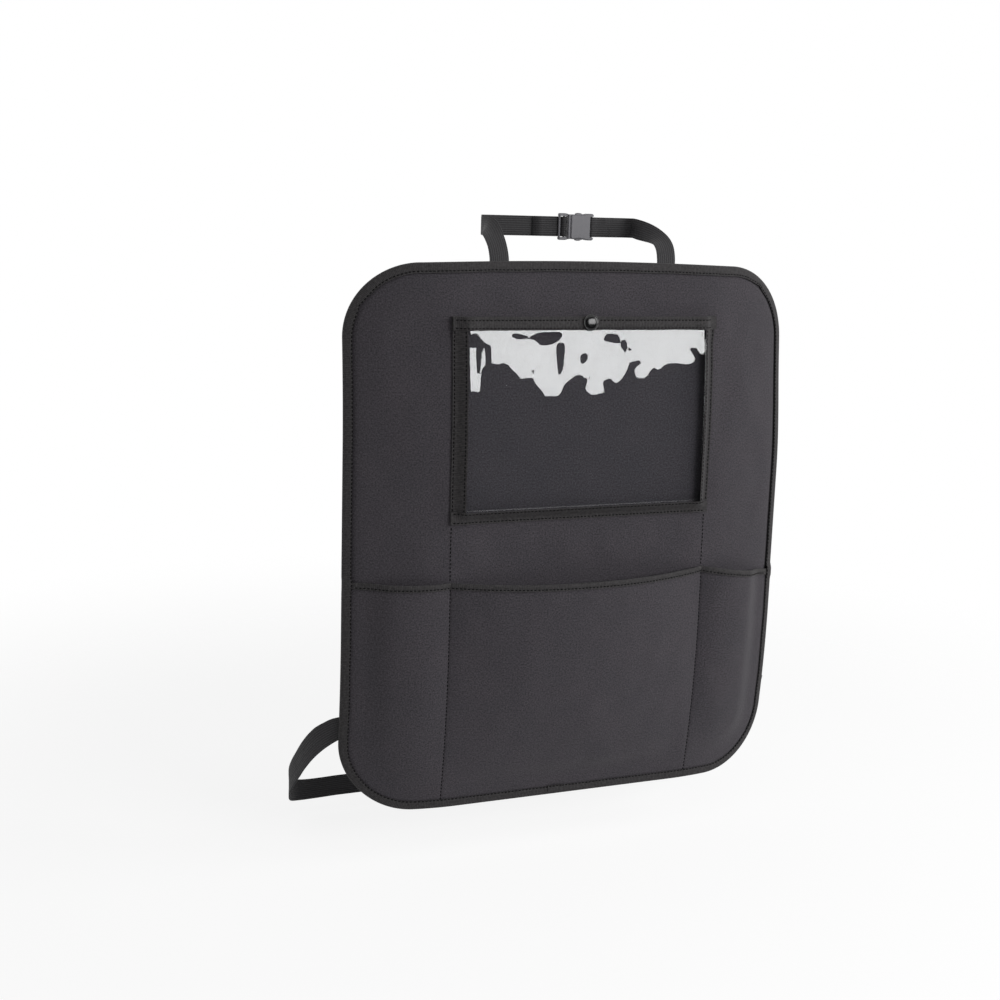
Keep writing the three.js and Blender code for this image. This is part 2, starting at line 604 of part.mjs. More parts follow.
/** Elastic from one side edge, back and down round the seat, `side` -1 for the left. */
function roundSeat(side) {
  const edgeY = backFace(side * WIDTH / 2, LOWER_STRAP_Z);
  const outside = (over) => side * (WIDTH / 2 + over);
  const [start, ...way] = side < 0 ? LEFT_WAY : RIGHT_WAY;
  return eased([
    sewn(outside(-SEWN_LENGTH), LOWER_STRAP_Z + 3),
    sewn(outside(-14), LOWER_STRAP_Z),
    sewn(outside(0), LOWER_STRAP_Z - start[2] / 2),
    sewn(outside(start[0]), LOWER_STRAP_Z - start[2]),
    ...way.map(([over, back, down]) => (
      station(outside(over), lerp(edgeY, LOWER_BAND_Y, back), LOWER_STRAP_Z - down)
    )),
    station(outside(-35.3), LOWER_BAND_Y, LOWER_BUCKLE.z),
  ], 2);
}

function lowerStraps() {
  const toLadder = besideBuckle(LOWER_BUCKLE, 1, 1, ladderRun());
  const toSocket = besideBuckle(LOWER_BUCKLE, 1, 1, sewnLoopRun());
  return [
    piece('lower_strap_left', webbing([...roundSeat(-1), ...toLadder], 1), webbingBlack),
    piece('lower_strap_right', webbing([...roundSeat(1), ...toSocket], 1), webbingBlack),
  ];
}

/** A plate of the given outline with rounded edges, centred on its thickness. */
function moulded(shape, thickness, edge) {
  const plate = new THREE.ExtrudeGeometry(shape, {
    depth: thickness - 2 * edge,
    bevelThickness: edge,
    bevelSize: edge,
    bevelOffset: -edge,
    bevelSegments: 1,
    curveSegments: 4,
  });
  return toSolid(weld(plate.translate(0, 0, edge - thickness / 2)));
}

/** A round bar across the buckle at u. */
const crossBar = (u, radius) => toSolid(weld(
  new THREE.CylinderGeometry(radius, radius, 2 * SLOT_HALF_WIDTH + 2, 10).translate(u, 0, 0),
));

/** Closed outline from the lower half's curve and its mirror image. */
function symmetricShape(draw) {
  const half = new THREE.Path();
  draw(half);
  const points = half.getPoints(4);
  return new THREE.Shape([...points, ...points.toReversed().map((p) => new THREE.Vector2(p.x, -p.y))]);
}

/** Socket half: a flat hollow body with side windows and a bar for the webbing. */
function socketGeometry() {
  const outline = symmetricShape((half) => {
    half.moveTo(0, 3 - MOUTH_HALF_WIDTH);
    half.quadraticCurveTo(0, -MOUTH_HALF_WIDTH, 3, -MOUTH_HALF_WIDTH);
    half.bezierCurveTo(8, 0.9 - MOUTH_HALF_WIDTH, 16, 1.2 - MOUTH_HALF_WIDTH, 22, -SOCKET_HALF_WIDTH);
    half.lineTo(SOCKET_LENGTH - 3, -SOCKET_HALF_WIDTH);
    half.quadraticCurveTo(SOCKET_LENGTH, -SOCKET_HALF_WIDTH, SOCKET_LENGTH, 3 - SOCKET_HALF_WIDTH);
  });
  const wide = 2 * SOCKET_HALF_WIDTH;
  const tall = BUCKLE_THICKNESS;
  const chamber = box(-1, CHAMBER_DEPTH, -CHAMBER_HALF_WIDTH, CHAMBER_HALF_WIDTH,
    -CHAMBER_HEIGHT / 2, CHAMBER_HEIGHT / 2);
  const windows = box(WINDOW_START, WINDOW_END, -wide, wide, -CHAMBER_HEIGHT / 2 - 0.4, CHAMBER_HEIGHT / 2 + 0.4);
  const slot = box(SOCKET_BAR_U - LOOP_RADIUS - WEBBING_THICKNESS / 2 - LAYER_GAP, SOCKET_LENGTH + 1,
    -SLOT_HALF_WIDTH, SLOT_HALF_WIDTH, -tall, tall);
  return fromSolid(moulded(outline, BUCKLE_THICKNESS, 1.2)
    .subtract(chamber)
    .subtract(windows)
    .subtract(slot)
    .add(crossBar(SOCKET_BAR_U, BAR_RADIUS)));
}

/** One sprung arm with its catch, `side` 1 or -1. */
function armSolid(side) {
  const arm = new THREE.Shape();
  arm.moveTo(-1, 8);
  arm.quadraticCurveTo(10, 9.4, 20.4, 8.4);
  arm.quadraticCurveTo(22.6, 8.6, 22.3, 10);
  arm.quadraticCurveTo(21.4, 11.6, 19, 12.4);
  arm.bezierCurveTo(15, 16.6, 10, 17, 7.6, 15.4);
  arm.quadraticCurveTo(7.2, 15.1, 7.2, 14.4);
  arm.lineTo(7.2, 11.6);
  arm.lineTo(-1, 11.2);
  const plate = moulded(arm, ARM_THICKNESS, 0.5);
  return side > 0 ? plate : plate.mirror([0, 1, 0]);
}

/** Plug half: a shoulder with two sprung arms and a guide, and a ladder for the webbing. */
function plugGeometry() {
  const end = END_BAR_U - END_BAR_RADIUS;
  const frame = symmetricShape((half) => {
    half.moveTo(-0.3, 2 - MOUTH_HALF_WIDTH);
    half.quadraticCurveTo(-0.3, -MOUTH_HALF_WIDTH, -2.3, -MOUTH_HALF_WIDTH);
    half.quadraticCurveTo(-4.5, -SOCKET_HALF_WIDTH, -7, -SOCKET_HALF_WIDTH);
    half.lineTo(end + 2, -SOCKET_HALF_WIDTH);
    half.quadraticCurveTo(end, -SOCKET_HALF_WIDTH, end, 2 - SOCKET_HALF_WIDTH);
  });
  const shoulder = symmetricShape((half) => {
    half.moveTo(-0.3, 2 - MOUTH_HALF_WIDTH);
    half.quadraticCurveTo(-0.3, -MOUTH_HALF_WIDTH, -2.3, -MOUTH_HALF_WIDTH);
    half.lineTo(-3.1, -MOUTH_HALF_WIDTH);
  });
  const ladderOpening = box(end - 1, -3.1, -SLOT_HALF_WIDTH, SLOT_HALF_WIDTH, -9, 9);
  const guide = box(-1, 15, -1.5, 1.5, -2, 2);
  return fromSolid(moulded(frame, 5.4, 1)
    .subtract(ladderOpening)
    .add(moulded(shoulder, BUCKLE_THICKNESS - 0.6, 0.6))
    .add(crossBar(LADDER_BAR_U, BAR_RADIUS))
    .add(crossBar(END_BAR_U, END_BAR_RADIUS))
    .add(armSolid(1))
    .add(armSolid(-1))
    .add(guide));
}

/** Both halves of a buckle, closed, with W along `outward` times Y. */
function buckle(prefix, place, outward, size) {
  const group = new THREE.Group();
  group.position.copy(place);
  group.scale.setScalar(size);
  group.rotation.x = outward < 0 ? Math.PI / 2 : -Math.PI / 2;
  group.add(
    piece(`${prefix}_buckle_plug`, plugGeometry(), greyPlastic),
    piece(`${prefix}_buckle_socket`, socketGeometry(), greyPlastic),
  );
  return group;
}

const organizer = new THREE.Group();
organizer.name = 'car_seat_back_organizer';
organizer.add(
  piece('back_panel', panelGeometry(), clothCharcoal),
  piece('edge_binding', bindingGeometry(), tapeBlack),
  piece('lower_pocket_front', lowerPocketGeometry(), clothCharcoal),
  piece('window_film', filmGeometry(), clearFilm),
  piece('window_tape_left', sideTapeGeometry(-1), tapeBlack),
  piece('window_tape_right', sideTapeGeometry(1), tapeBlack),
  piece('window_tape_bottom', bottomTapeGeometry(), tapeBlack),
  piece('window_tape_top', topTapeGeometry(), tapeBlack),
  pressStud(),
  ...topStraps(),
  buckle('top', TOP_BUCKLE, -1, TOP_SIZE),
  ...lowerStraps(),
  buckle('lower', LOWER_BUCKLE, 1, 1),
);

export default organizer;
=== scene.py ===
"""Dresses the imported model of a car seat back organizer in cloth, film, tape, webbing and hardware.

The shape functions work in millimetres in the row's frame: X to the viewer's right, Y away from
the viewer and Z up, with the origin in the middle of the panel's back face.
"""

import math

import bpy
import numpy as np
from bpy.props import FloatProperty, FloatVectorProperty, PointerProperty
from mathutils import Matrix, Vector, noise


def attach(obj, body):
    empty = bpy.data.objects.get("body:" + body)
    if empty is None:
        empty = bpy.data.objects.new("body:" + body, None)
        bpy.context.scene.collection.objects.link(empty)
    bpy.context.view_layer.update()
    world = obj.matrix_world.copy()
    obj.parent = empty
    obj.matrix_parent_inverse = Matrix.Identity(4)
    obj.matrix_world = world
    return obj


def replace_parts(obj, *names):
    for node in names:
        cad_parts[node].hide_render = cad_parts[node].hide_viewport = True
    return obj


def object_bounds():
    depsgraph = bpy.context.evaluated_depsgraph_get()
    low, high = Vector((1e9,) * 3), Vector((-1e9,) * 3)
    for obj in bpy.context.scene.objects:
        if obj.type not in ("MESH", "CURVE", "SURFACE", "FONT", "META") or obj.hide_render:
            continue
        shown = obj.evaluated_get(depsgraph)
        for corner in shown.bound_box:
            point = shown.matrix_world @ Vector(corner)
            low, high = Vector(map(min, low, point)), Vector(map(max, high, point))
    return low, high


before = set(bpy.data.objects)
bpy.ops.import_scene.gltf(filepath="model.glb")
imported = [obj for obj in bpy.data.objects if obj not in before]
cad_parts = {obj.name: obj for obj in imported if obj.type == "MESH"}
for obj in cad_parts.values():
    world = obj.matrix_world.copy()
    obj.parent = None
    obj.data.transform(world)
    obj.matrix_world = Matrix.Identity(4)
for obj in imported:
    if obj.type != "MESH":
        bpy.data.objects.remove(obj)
CAD_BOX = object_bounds()

bl_info = {
    "name": "Car Seat Back Organizer",
    "version": (1, 0, 0),
    "blender": (4, 5, 0),
    "location": "3D View > Sidebar > Organizer",
    "description": "Cloth, film, tape, webbing, thread and hardware of a car seat back organizer",
    "category": "Add Mesh",
}

MM = 0.001

# Outline of the panel, binding included
WIDTH = 480.6
HEIGHT = 552.6
CORNER_RADIUS = 73.0
TOP_CROWN = 3.2
CORNER_X = WIDTH / 2 - CORNER_RADIUS
CORNER_TOP_Z = HEIGHT / 2 - TOP_CROWN - CORNER_RADIUS
CORNER_BOTTOM_Z = CORNER_RADIUS - HEIGHT / 2

# How the panel bends at its sides and ends
FLAT_HALF_WIDTH = 122.0
FLAT_HALF_HEIGHT = 90.0
SIDE_BEND_RADIUS = 236.6
END_BEND_RADIUS = 1085.0
RIGHT_SLACK = 0.2

# Layers
PANEL_THICKNESS = 3.0
POCKET_CLOTH = 1.2
TAPE_THICKNESS = 1.0
TAPE_EDGE = 0.25  # rounding of the tapes' edges
CLOTH_EDGE = 0.3
FILM_THICKNESS = 0.5
LAYER_GAP = 0.35

# Binding
BINDING_WIDTH = 9.0
FOLD_INSET = 3.0  # the legs are flat from here inwards
FOLD_DEPTH = 2.4
PANEL_INSET = TAPE_THICKNESS + LAYER_GAP
STATION_STEP = 2.6
LEG_SHARES = np.array([1.0, 0.96, 0.92, 0.87, 0.81, 0.75, 0.69, 0.60, 0.46, 0.30, 0.14, 0.0])
LAP_X = -13.0  # where its two ends overlap at the foot
LAP_HALF_WIDTH = 8.6

# Lower pockets
SEAM_X = 139.5
POCKET_TOP_Z = -36.0
CENTRE_SAG = 3.0
RIGHT_POCKET_DROP = 14.0
HEM_WIDTH = 6.5
CENTRE_GAPE = 24.0
LEFT_GAPE = 8.0
RIGHT_GAPE = 11.0
GAPE_MARGIN = 8.0
GAPE_RISE = 26.0
SIDE_POCKET_WIDTH = WIDTH / 2 - BINDING_WIDTH - SEAM_X

# Window pocket
WINDOW_TAPE_WIDTH = 13.0
WINDOW_HALF_WIDTH = 141.5
WINDOW_BOTTOM_Z = 22.0
WINDOW_TOP_Z = 223.6
WINDOW_PROUD = 8.3
WINDOW_SLOPE = 11.0
TAPE_MARGIN = 3.0
TOP_TAPE_OVERHANG = 2.0
TOP_TAPE_Z = WINDOW_TOP_Z - WINDOW_TAPE_WIDTH
FILM_HALF_WIDTH = WINDOW_HALF_WIDTH - TAPE_MARGIN
FILM_BOTTOM_Z = WINDOW_BOTTOM_Z + TAPE_MARGIN
FILM_TOP_Z = WINDOW_TOP_Z - TAPE_THICKNESS - LAYER_GAP

# Rows of stitches on the window tapes
ROW_INSET = 1.8  # from the tape's edge
GROOVE_DEPTH = 0.4
GROOVE_HALF_WIDTH = 0.8
ROW_SINK = 0.35
SECOND_ROW = 9.4  # up the top tape; it stops beside the stud
STUD_CLEARANCE = 9.0
ROW_STEP = 2.0

# Press stud
SNAP_Z = 216.5
SNAP_PULL = 1.75
SNAP_TILT = math.asin((SNAP_Z - FLAT_HALF_HEIGHT) / END_BEND_RADIUS)

# Webbing
WEBBING_WIDTH = 23.0
WEBBING_THICKNESS = 1.4
TOP_SIZE = 20.0 / WEBBING_WIDTH
SEWN_LENGTH = 30.0
SEWN_MIDDLE = 14.0
SEWN_OFFSET = -(LAYER_GAP + TAPE_THICKNESS + 0.9 + WEBBING_THICKNESS / 2)
POST_X = 76.0
POST_Y = 80.0
POST_TURN_RADIUS = 8.2
TOP_STRAP_X = POST_X + 14
TOP_BAND_Z = HEIGHT / 2 + 31.7
TOP_SEAM_Z = TOP_BAND_Z - 32
TOP_BUCKLE = (14.0, POST_Y + 6, TOP_BAND_Z)
LOWER_STRAP_Z = 90.3 - HEIGHT / 2
LOWER_BAND_Y = 164.0
LOWER_BUCKLE = (0.0, LOWER_BAND_Y + 4, LOWER_STRAP_Z - 116)
# The top straps' way up to their bend: right of the seam, before the bend, below the band, and lean
LEFT_RISE = ((2, 53, 20, 2), (2.5, 40, 9, 14), (3, 28, 2.5, 35), (4, 17, 0, 62), (5.2, 8, 0, 82))
RIGHT_RISE = ((4.5, 54, 22, 2), (6.5, 43, 13.5, 12), (5, 31, 8, 32), (0.5, 20, 4, 56), (-3.8, 10, 1.5, 78))
# The elastic's way from a side edge: out past the edge, share of the way back, and down
LEFT_WAY = (
    (6, 0, 8), (14.7, 0.11, 16), (22.7, 0.235, 33), (27.7, 0.4, 56),
    (29.7, 0.58, 80), (24.7, 0.75, 100), (12.7, 0.9, 111), (-8.3, 0.977, 115.5),
)
RIGHT_WAY = (
    (4, 0, 3), (8.5, 0.11, 8), (13.5, 0.235, 20), (17, 0.4, 42),
    (18, 0.58, 70), (14, 0.75, 95), (5, 0.9, 109), (-12, 0.977, 115.5),
)
LOOP_RADIUS = 1.5 + LAYER_GAP + WEBBING_THICKNESS / 2
SOCKET_BAR_U = 28.2
LADDER_BAR_U = -7.0
TAIL_END_U = -58.0
FOLDED_END_U = 52.0
# Round the ladder bar, with the loose tail back beside the loaded run
TAIL_POINTS = ((TAIL_END_U, -4.3), (-12.5, -4.3), (-10.4, -3.75), (-8.6, -2.9))
LOADED_POINTS = (
    (-8.3, 2.4), (-9.5, 1.3), (-10, 0), (-10.5, -1.1),
    (-11.6, -2.2), (-13.2, -2.55), (TAIL_END_U + 12, -2.55),
)
# Strap cross-section: finer at the selvedges, with shallow grooves at these shares of the half width
SELVEDGE = [-1, -0.985, -0.96, -0.93, 0.93, 0.96, 0.985, 1]
PLAIN_GROOVES = (-0.86, 0.86)
BANDED_GROOVES = (-0.86, -0.3, 0.3, 0.86)

# Half profiles of the press stud, as (radius, height)
SHANK = 1.8
CAP_PROFILE = [
    (0, 7.6), (1.4, 7.6), (SHANK, 8), (SHANK, 12.15), (7.6, 12.15), (7.95, 12.3), (8.1, 12.7),
    (8.05, 13.15), (7.8, 13.45), (7.45, 13.5), (7.15, 13.3),
    *((r, 13.35 + 1.7 * math.sqrt(1 - (r / 7.1) ** 2)) for r in (6.9, 6.5, 5.8, 4.9, 3.8, 2.5, 1.2, 0.0)),
]
POST_PROFILE = [
    (0, -1.55), (3.2, -1.5), (4.3, -1.35), (4.85, -1.05), (5, -0.7), (4.9, -0.35), (SHANK, -0.35),
    (SHANK, 5.4), (1.3, 5.8), (1, 5.4), (1, 0.2), (0, 0.2),
]

# Stage, in metres
CAMERA_LENS = 54.67
CAMERA_PLACE = (-0.6400, -1.3556, 0.3362)
CAMERA_RIGHT = (0.9281, -0.3712, 0.0300)
CAMERA_FORWARD = (0.3696, 0.9083, -0.1959)
FLOOR_RADIUS = 3.0
FLOOR_FADE = (0.5, 1.3)
FLOOR_GLOW = 1.07
GLOW_SHARE = 0.78


def linear(code):
    """The linear colour of an sRGB hex code."""
    parts = [int(code[i : i + 2], 16) / 255 for i in (1, 3, 5)]
    return tuple(c / 12.92 if c <= 0.04045 else ((c + 0.055) / 1.055) ** 2.4 for c in parts)


def colour_property(name, description, code):
    return FloatVectorProperty(
        name=name, description=description, subtype="COLOR", size=3, min=0, max=1, default=linear(code)
    )


def length_property(name, description, millimetres, high):
    span = {"min": 0, "max": high * MM, "default": millimetres * MM}
    return FloatProperty(name=name, description=description, subtype="DISTANCE", unit="LENGTH", **span)


def power_property(name, description, watts):
    kind = {"subtype": "POWER", "unit": "POWER"}
    return FloatProperty(name=name, description=description, min=0, default=watts, **kind)


class OrganizerSizes(bpy.types.PropertyGroup):
    """Sizes of the fine work that the CAD model leaves out."""

    stitch_pitch: length_property("Stitch Pitch", "From one stitch to the next", 3.9, 20)
    stitch_length: length_property("Stitch Length", "Thread that shows of each stitch", 2.8, 20)
    # Real thread is half as thick. It is drawn thicker, so that it shows.
    thread: length_property("Thread", "Diameter of the sewing thread", 1.1, 3)
    cloth_wave: length_property("Cloth Wave", "How far the panel cloth swells and dips", 1.0, 5)
    pocket_wave: length_property("Pocket Wave", "How far the pocket cloth swells and dips", 1.3, 5)
    film_wave: length_property("Film Wave", "How far the clear film swells and dips", 0.9, 3)


class OrganizerColours(bpy.types.PropertyGroup):
    """Colours of the cloth, trim and hardware."""

    cloth: colour_property("Cloth", "Panel and pocket cloth", "#3d3a3f")
    cloth_cast: colour_property("Cloth Cast", "Faint second colour in the cloth", "#413d42")
    tape: colour_property("Tape", "Binding and window tapes", "#353334")
    webbing: colour_property("Webbing", "Straps", "#2d2c2e")
    thread: colour_property("Thread", "Sewing thread", "#0b0b0c")
    film: colour_property("Film", "Clear film of the window pocket", "#eef1f2")
    plastic: colour_property("Buckle Plastic", "Side-release buckles", "#6c6b70")
    lacquer: colour_property("Stud Lacquer", "Lacquer of the press stud", "#121213")


class OrganizerStage(bpy.types.PropertyGroup):
    """Floor and lamps."""

    floor_drop: length_property("Floor Drop", "From the lowest strap down to the floor", 14, 500)
    floor: colour_property("Floor", "Floor and background", "#ffffff")
    daylight: FloatProperty(name="Daylight", description="Strength of the even light", min=0, default=0.3)
    key: power_property("Key Lamp", "Power of the front lamp", 24)
    side: power_property("Side Lamp", "Power of the right lamp", 16)


# Shape of the organizer, in millimetres


def smooth(value, low, high):
    t = np.clip((np.asarray(value, float) - low) / (high - low), 0, 1)
    return t * t * (3 - 2 * t)


def hump(away, width):
    """1 on a line, fading out over `width` on both sides of it."""
    return np.exp(-((away / width) ** 2))


def fine(low, high, step):
    count = max(int(round((high - low) / step)), 1)
    return np.linspace(low, high, count + 1)


def path_length(points):
    return np.concatenate([[0], np.cumsum(np.linalg.norm(np.diff(points, axis=0), axis=1))])


def sampled(at, along, values):
    """The rows of `values`, given at `along`, at other places along the same path."""
    return np.stack([np.interp(at, along, values[:, k]) for k in range(3)], -1)


def unit(vectors):
    return vectors / np.linalg.norm(vectors, axis=-1, keepdims=True)


def bend(over, radius):
    over = np.maximum(over, 0)
    return radius - np.sqrt(radius**2 - over**2)


def back_face(x, z):
    """Y of the panel's back face."""
    slack = RIGHT_SLACK * smooth(x, 60, 180) * (1 - smooth(z, 60, 180))
    sides = bend(np.abs(x) - FLAT_HALF_WIDTH, SIDE_BEND_RADIUS) * (1 - slack)
    return sides + bend(np.abs(z) - FLAT_HALF_HEIGHT, END_BEND_RADIUS)


def on_panel(x, z, offset):
    """The points at (x, z) that stand `offset` in front of the panel's back face."""
    x, z, offset = np.broadcast_arrays(np.asarray(x, float), z, offset)
    return np.stack([x, back_face(x, z) - offset, z], -1)


def unrolled(value, flat, radius):
    """Distance along the cloth from its middle, round the bend."""
    size = np.abs(value)
    return np.sign(value) * (np.minimum(size, flat) + radius * np.arcsin(np.maximum(size - flat, 0) / radius))


def cloth_uv(x, z):
    """Where (x, z) lies on the flat cloth, in metres."""
    x, z = np.broadcast_arrays(np.asarray(x, float), z)
    across = unrolled(x, FLAT_HALF_WIDTH, SIDE_BEND_RADIUS)
    along = unrolled(z, FLAT_HALF_HEIGHT, END_BEND_RADIUS)
    return np.stack([across, along], -1) * MM


def top_edge(x, inset):
    x = np.asarray(x, float)
    over = np.abs(x) - CORNER_X
    straight = HEIGHT / 2 - TOP_CROWN * (x / CORNER_X) ** 2 - inset
    corner = CORNER_TOP_Z + np.sqrt(np.maximum((CORNER_RADIUS - inset) ** 2 - np.maximum(over, 0) ** 2, 0))
    return np.where(over <= 0, straight, corner)


def bottom_edge(x, inset):
    over = np.maximum(np.abs(x) - CORNER_X, 0)
    return CORNER_BOTTOM_Z - np.sqrt(np.maximum((CORNER_RADIUS - inset) ** 2 - over**2, 0))


def edge_distance(x, z):
    """Distance from (x, z) to the outline, positive inside."""
    x, z = np.broadcast_arrays(np.asarray(x, float), z)
    across = np.abs(x) - CORNER_X
    along = np.maximum(z - CORNER_TOP_Z, CORNER_BOTTOM_Z - z)
    straight = np.minimum(WIDTH / 2 - np.abs(x), np.minimum(top_edge(x, 0) - z, z - bottom_edge(x, 0)))
    return np.where((across > 0) & (along > 0), CORNER_RADIUS - np.hypot(across, along), straight)


def pocket_top(x):
    """Top edge of the lower pockets."""
    x = np.asarray(x, float)
    centre = POCKET_TOP_Z - CENTRE_SAG * (1 - (x / SEAM_X) ** 2)
    side = POCKET_TOP_Z - RIGHT_POCKET_DROP * np.clip((x - SEAM_X) / SIDE_POCKET_WIDTH, 0, 1)
    return np.where(np.abs(x) <= SEAM_X, centre, side)


def free_cloth(x, z):
    """1 where the pocket cloth can stand off the panel, 0 beside the binding."""
    return smooth(edge_distance(x, z) - BINDING_WIDTH - GAPE_MARGIN, 0, GAPE_RISE)


def gape(x, z):
    """How far the pocket cloth stands off the panel."""
    x, z = np.broadcast_arrays(np.asarray(x, float), z)
    centre = np.abs(x) <= SEAM_X
    across = np.where(centre, x / SEAM_X, 2 * (np.abs(x) - SEAM_X) / SIDE_POCKET_WIDTH - 1)
    depth_at_middle = np.where(centre, CENTRE_GAPE, np.where(x < 0, LEFT_GAPE, RIGHT_GAPE))
    arch = 1 - np.minimum(np.abs(across), 1) ** 2.2
    depth = (pocket_top(x) - z) / (pocket_top(x) - bottom_edge(0, BINDING_WIDTH))
    closing = 1 - np.clip(depth, 0, 1) ** 2.4
    return depth_at_middle * arch * closing * free_cloth(x, z)


def film_offset(x, z):
    """How far the film's back stands in front of the panel's back face."""
    x, z = np.broadcast_arrays(np.asarray(x, float), z)
    side = smooth(FILM_HALF_WIDTH - np.abs(x), 0, WINDOW_SLOPE)
    low = smooth(z - FILM_BOTTOM_Z, 0, WINDOW_SLOPE)
    mouth = (TAPE_THICKNESS + 2 * LAYER_GAP) * smooth(z, 196, 209) * (1 - side)
    pull = SNAP_PULL * (1 - smooth(np.abs(x), 12, 70)) * smooth(z, 157, 209)
    return PANEL_THICKNESS + LAYER_GAP + WINDOW_PROUD * side * low + mouth - pull


def ripple(x, z, period, seed):
    """Smooth noise from about -1 to 1 over the cloth, with hills `period` millimetres apart."""
    x, z = np.broadcast_arrays(np.asarray(x, float), z)
    values = []
    for a, b in zip((x / period).ravel(), (z / period).ravel()):
        hills = noise.noise(Vector((a, b, seed)))
        values.append(hills + 0.4 * noise.noise(Vector((2.3 * a, 2.3 * b, seed + 7))))
    return np.reshape(values, x.shape)


def wander(along, period, y, z):
    """Smooth noise along a path, with hills `period` millimetres apart."""
    return np.array([noise.noise(Vector((s / period, y, z))) for s in along])


def crease(x, z, start, end, width):
    """A ridge of height 1 along the line from start to end, fading out at both ends."""
    start, end = np.array(start, float), np.array(end, float)
    run = end - start
    length = np.hypot(*run)
    t = ((x - start[0]) * run[0] + (z - start[1]) * run[1]) / length**2
    away = np.abs((x - start[0]) * run[1] - (z - start[1]) * run[0]) / length
    return hump(away, width) * smooth(t, 0, 0.25) * (1 - smooth(t, 0.6, 1))


# Meshes


def new_piece(name, points, faces, uv, material, slot):
    """A piece from points in millimetres, with one UV in metres a point, riding on the root body."""
    mesh = bpy.data.meshes.new(name)
    mesh.from_pydata((np.asarray(points) * MM).tolist(), [], [list(f) for f in faces])
    mesh.validate()
    corners = np.empty(len(mesh.loops), np.int32)
    mesh.loops.foreach_get("vertex_index", corners)
    layer = mesh.uv_layers.new(name="UVMap")
    layer.data.foreach_set("uv", np.asarray(uv, np.float32)[corners].ravel())
    mesh.polygons.foreach_set("use_smooth", [True] * len(mesh.polygons))
    mesh.materials.append(material)
    piece = bpy.data.objects.new(name, mesh)
    bpy.context.scene.collection.objects.link(piece)
    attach(piece, "root")
    return piece


def soften_edges(piece, width, angle=50):
    """Rounds the edges that are sharper than `angle` degrees by `width` millimetres."""
    bevel = piece.modifiers.new("Soft Edges", "BEVEL")
    bevel.width = width * MM
    bevel.segments = 2
    bevel.limit_method = "ANGLE"
    bevel.angle_limit = math.radians(angle)
    bevel.harden_normals = True


def weld(piece, name):
    piece.modifiers.new(name, "WELD").merge_threshold = 1e-6


def quads(a, b, c, d):
    return np.stack([a, b, c, d], -1).reshape(-1, 4)


def slab_faces(columns, rows, closed=False):
    """Faces of a closed solid between a front and a back grid, the front's points first."""
    index = np.arange(2 * columns * rows).reshape(2, columns, rows)
    if closed:
        index = np.concatenate([index, index[:, :1]], 1)
    front, back = index
    parts = [
        quads(front[:-1, :-1], front[1:, :-1], front[1:, 1:], front[:-1, 1:]),
        quads(back[:-1, :-1], back[:-1, 1:], back[1:, 1:], back[1:, :-1]),
        quads(front[:-1, 0], back[:-1, 0], back[1:, 0], front[1:, 0]),
        quads(front[:-1, -1], front[1:, -1], back[1:, -1], back[:-1, -1]),
    ]
    if not closed:
        parts += [
            quads(front[0, :-1], front[0, 1:], back[0, 1:], back[0, :-1]),
            quads(front[-1, :-1], back[-1, :-1], back[-1, 1:], front[-1, 1:]),
        ]
    return np.concatenate(parts)


def facing_out(points, faces):
    """The faces, turned over if they enclose a negative volume."""
    a, b, c, d = (points[faces[:, k]] for k in range(4))
    volume = np.einsum("ij,ij->i", a, np.cross(b, c) + np.cross(c, d)).sum()
    return faces[:, ::-1] if volume < 0 else faces


def slab(name, front, back, uv, material, slot, closed=False, edge=TAPE_EDGE):
    """A closed sheet between two grids of points."""
    points = np.concatenate([front.reshape(-1, 3), back.reshape(-1, 3)])
    faces = facing_out(points, slab_faces(*front.shape[:2], closed))
    flat = np.asarray(uv).reshape(-1, 2)
    piece = new_piece(name, points, faces, np.concatenate([flat, flat]), material, slot)
    if edge:
        soften_edges(piece, edge)
    return piece


def cloth_piece(name, x, z, back, front, material, slot, edge=TAPE_EDGE, along_x=False):
    """A sheet over the grid (x, z) between two offset functions."""
    uv = cloth_uv(x, z)
    if along_x:
        uv = uv[..., ::-1]
    return slab(name, on_panel(x, z, front(x, z)), on_panel(x, z, back(x, z)), uv, material, slot, edge=edge)


def lengthwise_uv(across, along):
    return np.stack(np.broadcast_arrays(across[None, :], along[:, None]), -1) * MM


def lathe(name, profile, place, material, slot, segments=64):
    """A turned piece from its half profile of (radius, height)."""
    turns = np.linspace(0, 2 * math.pi, segments, endpoint=False)
    radius, height = (np.array(profile, float)[:, k, None] for k in (0, 1))
    rings = np.stack([radius * np.cos(turns), height + 0 * turns, radius * np.sin(turns)], -1).reshape(-1, 3)
    points = place(rings)
    index = np.arange(len(points)).reshape(-1, segments)
    index = np.concatenate([index, index[:, :1]], 1)
    faces = quads(index[:-1, :-1], index[1:, :-1], index[1:, 1:], index[:-1, 1:])
    piece = new_piece(name, points, facing_out(points, faces), rings[:, [0, 2]] * MM, material, slot)
    weld(piece, "Closed Poles")
    soften_edges(piece, 0.12)
    return piece


# Stitches


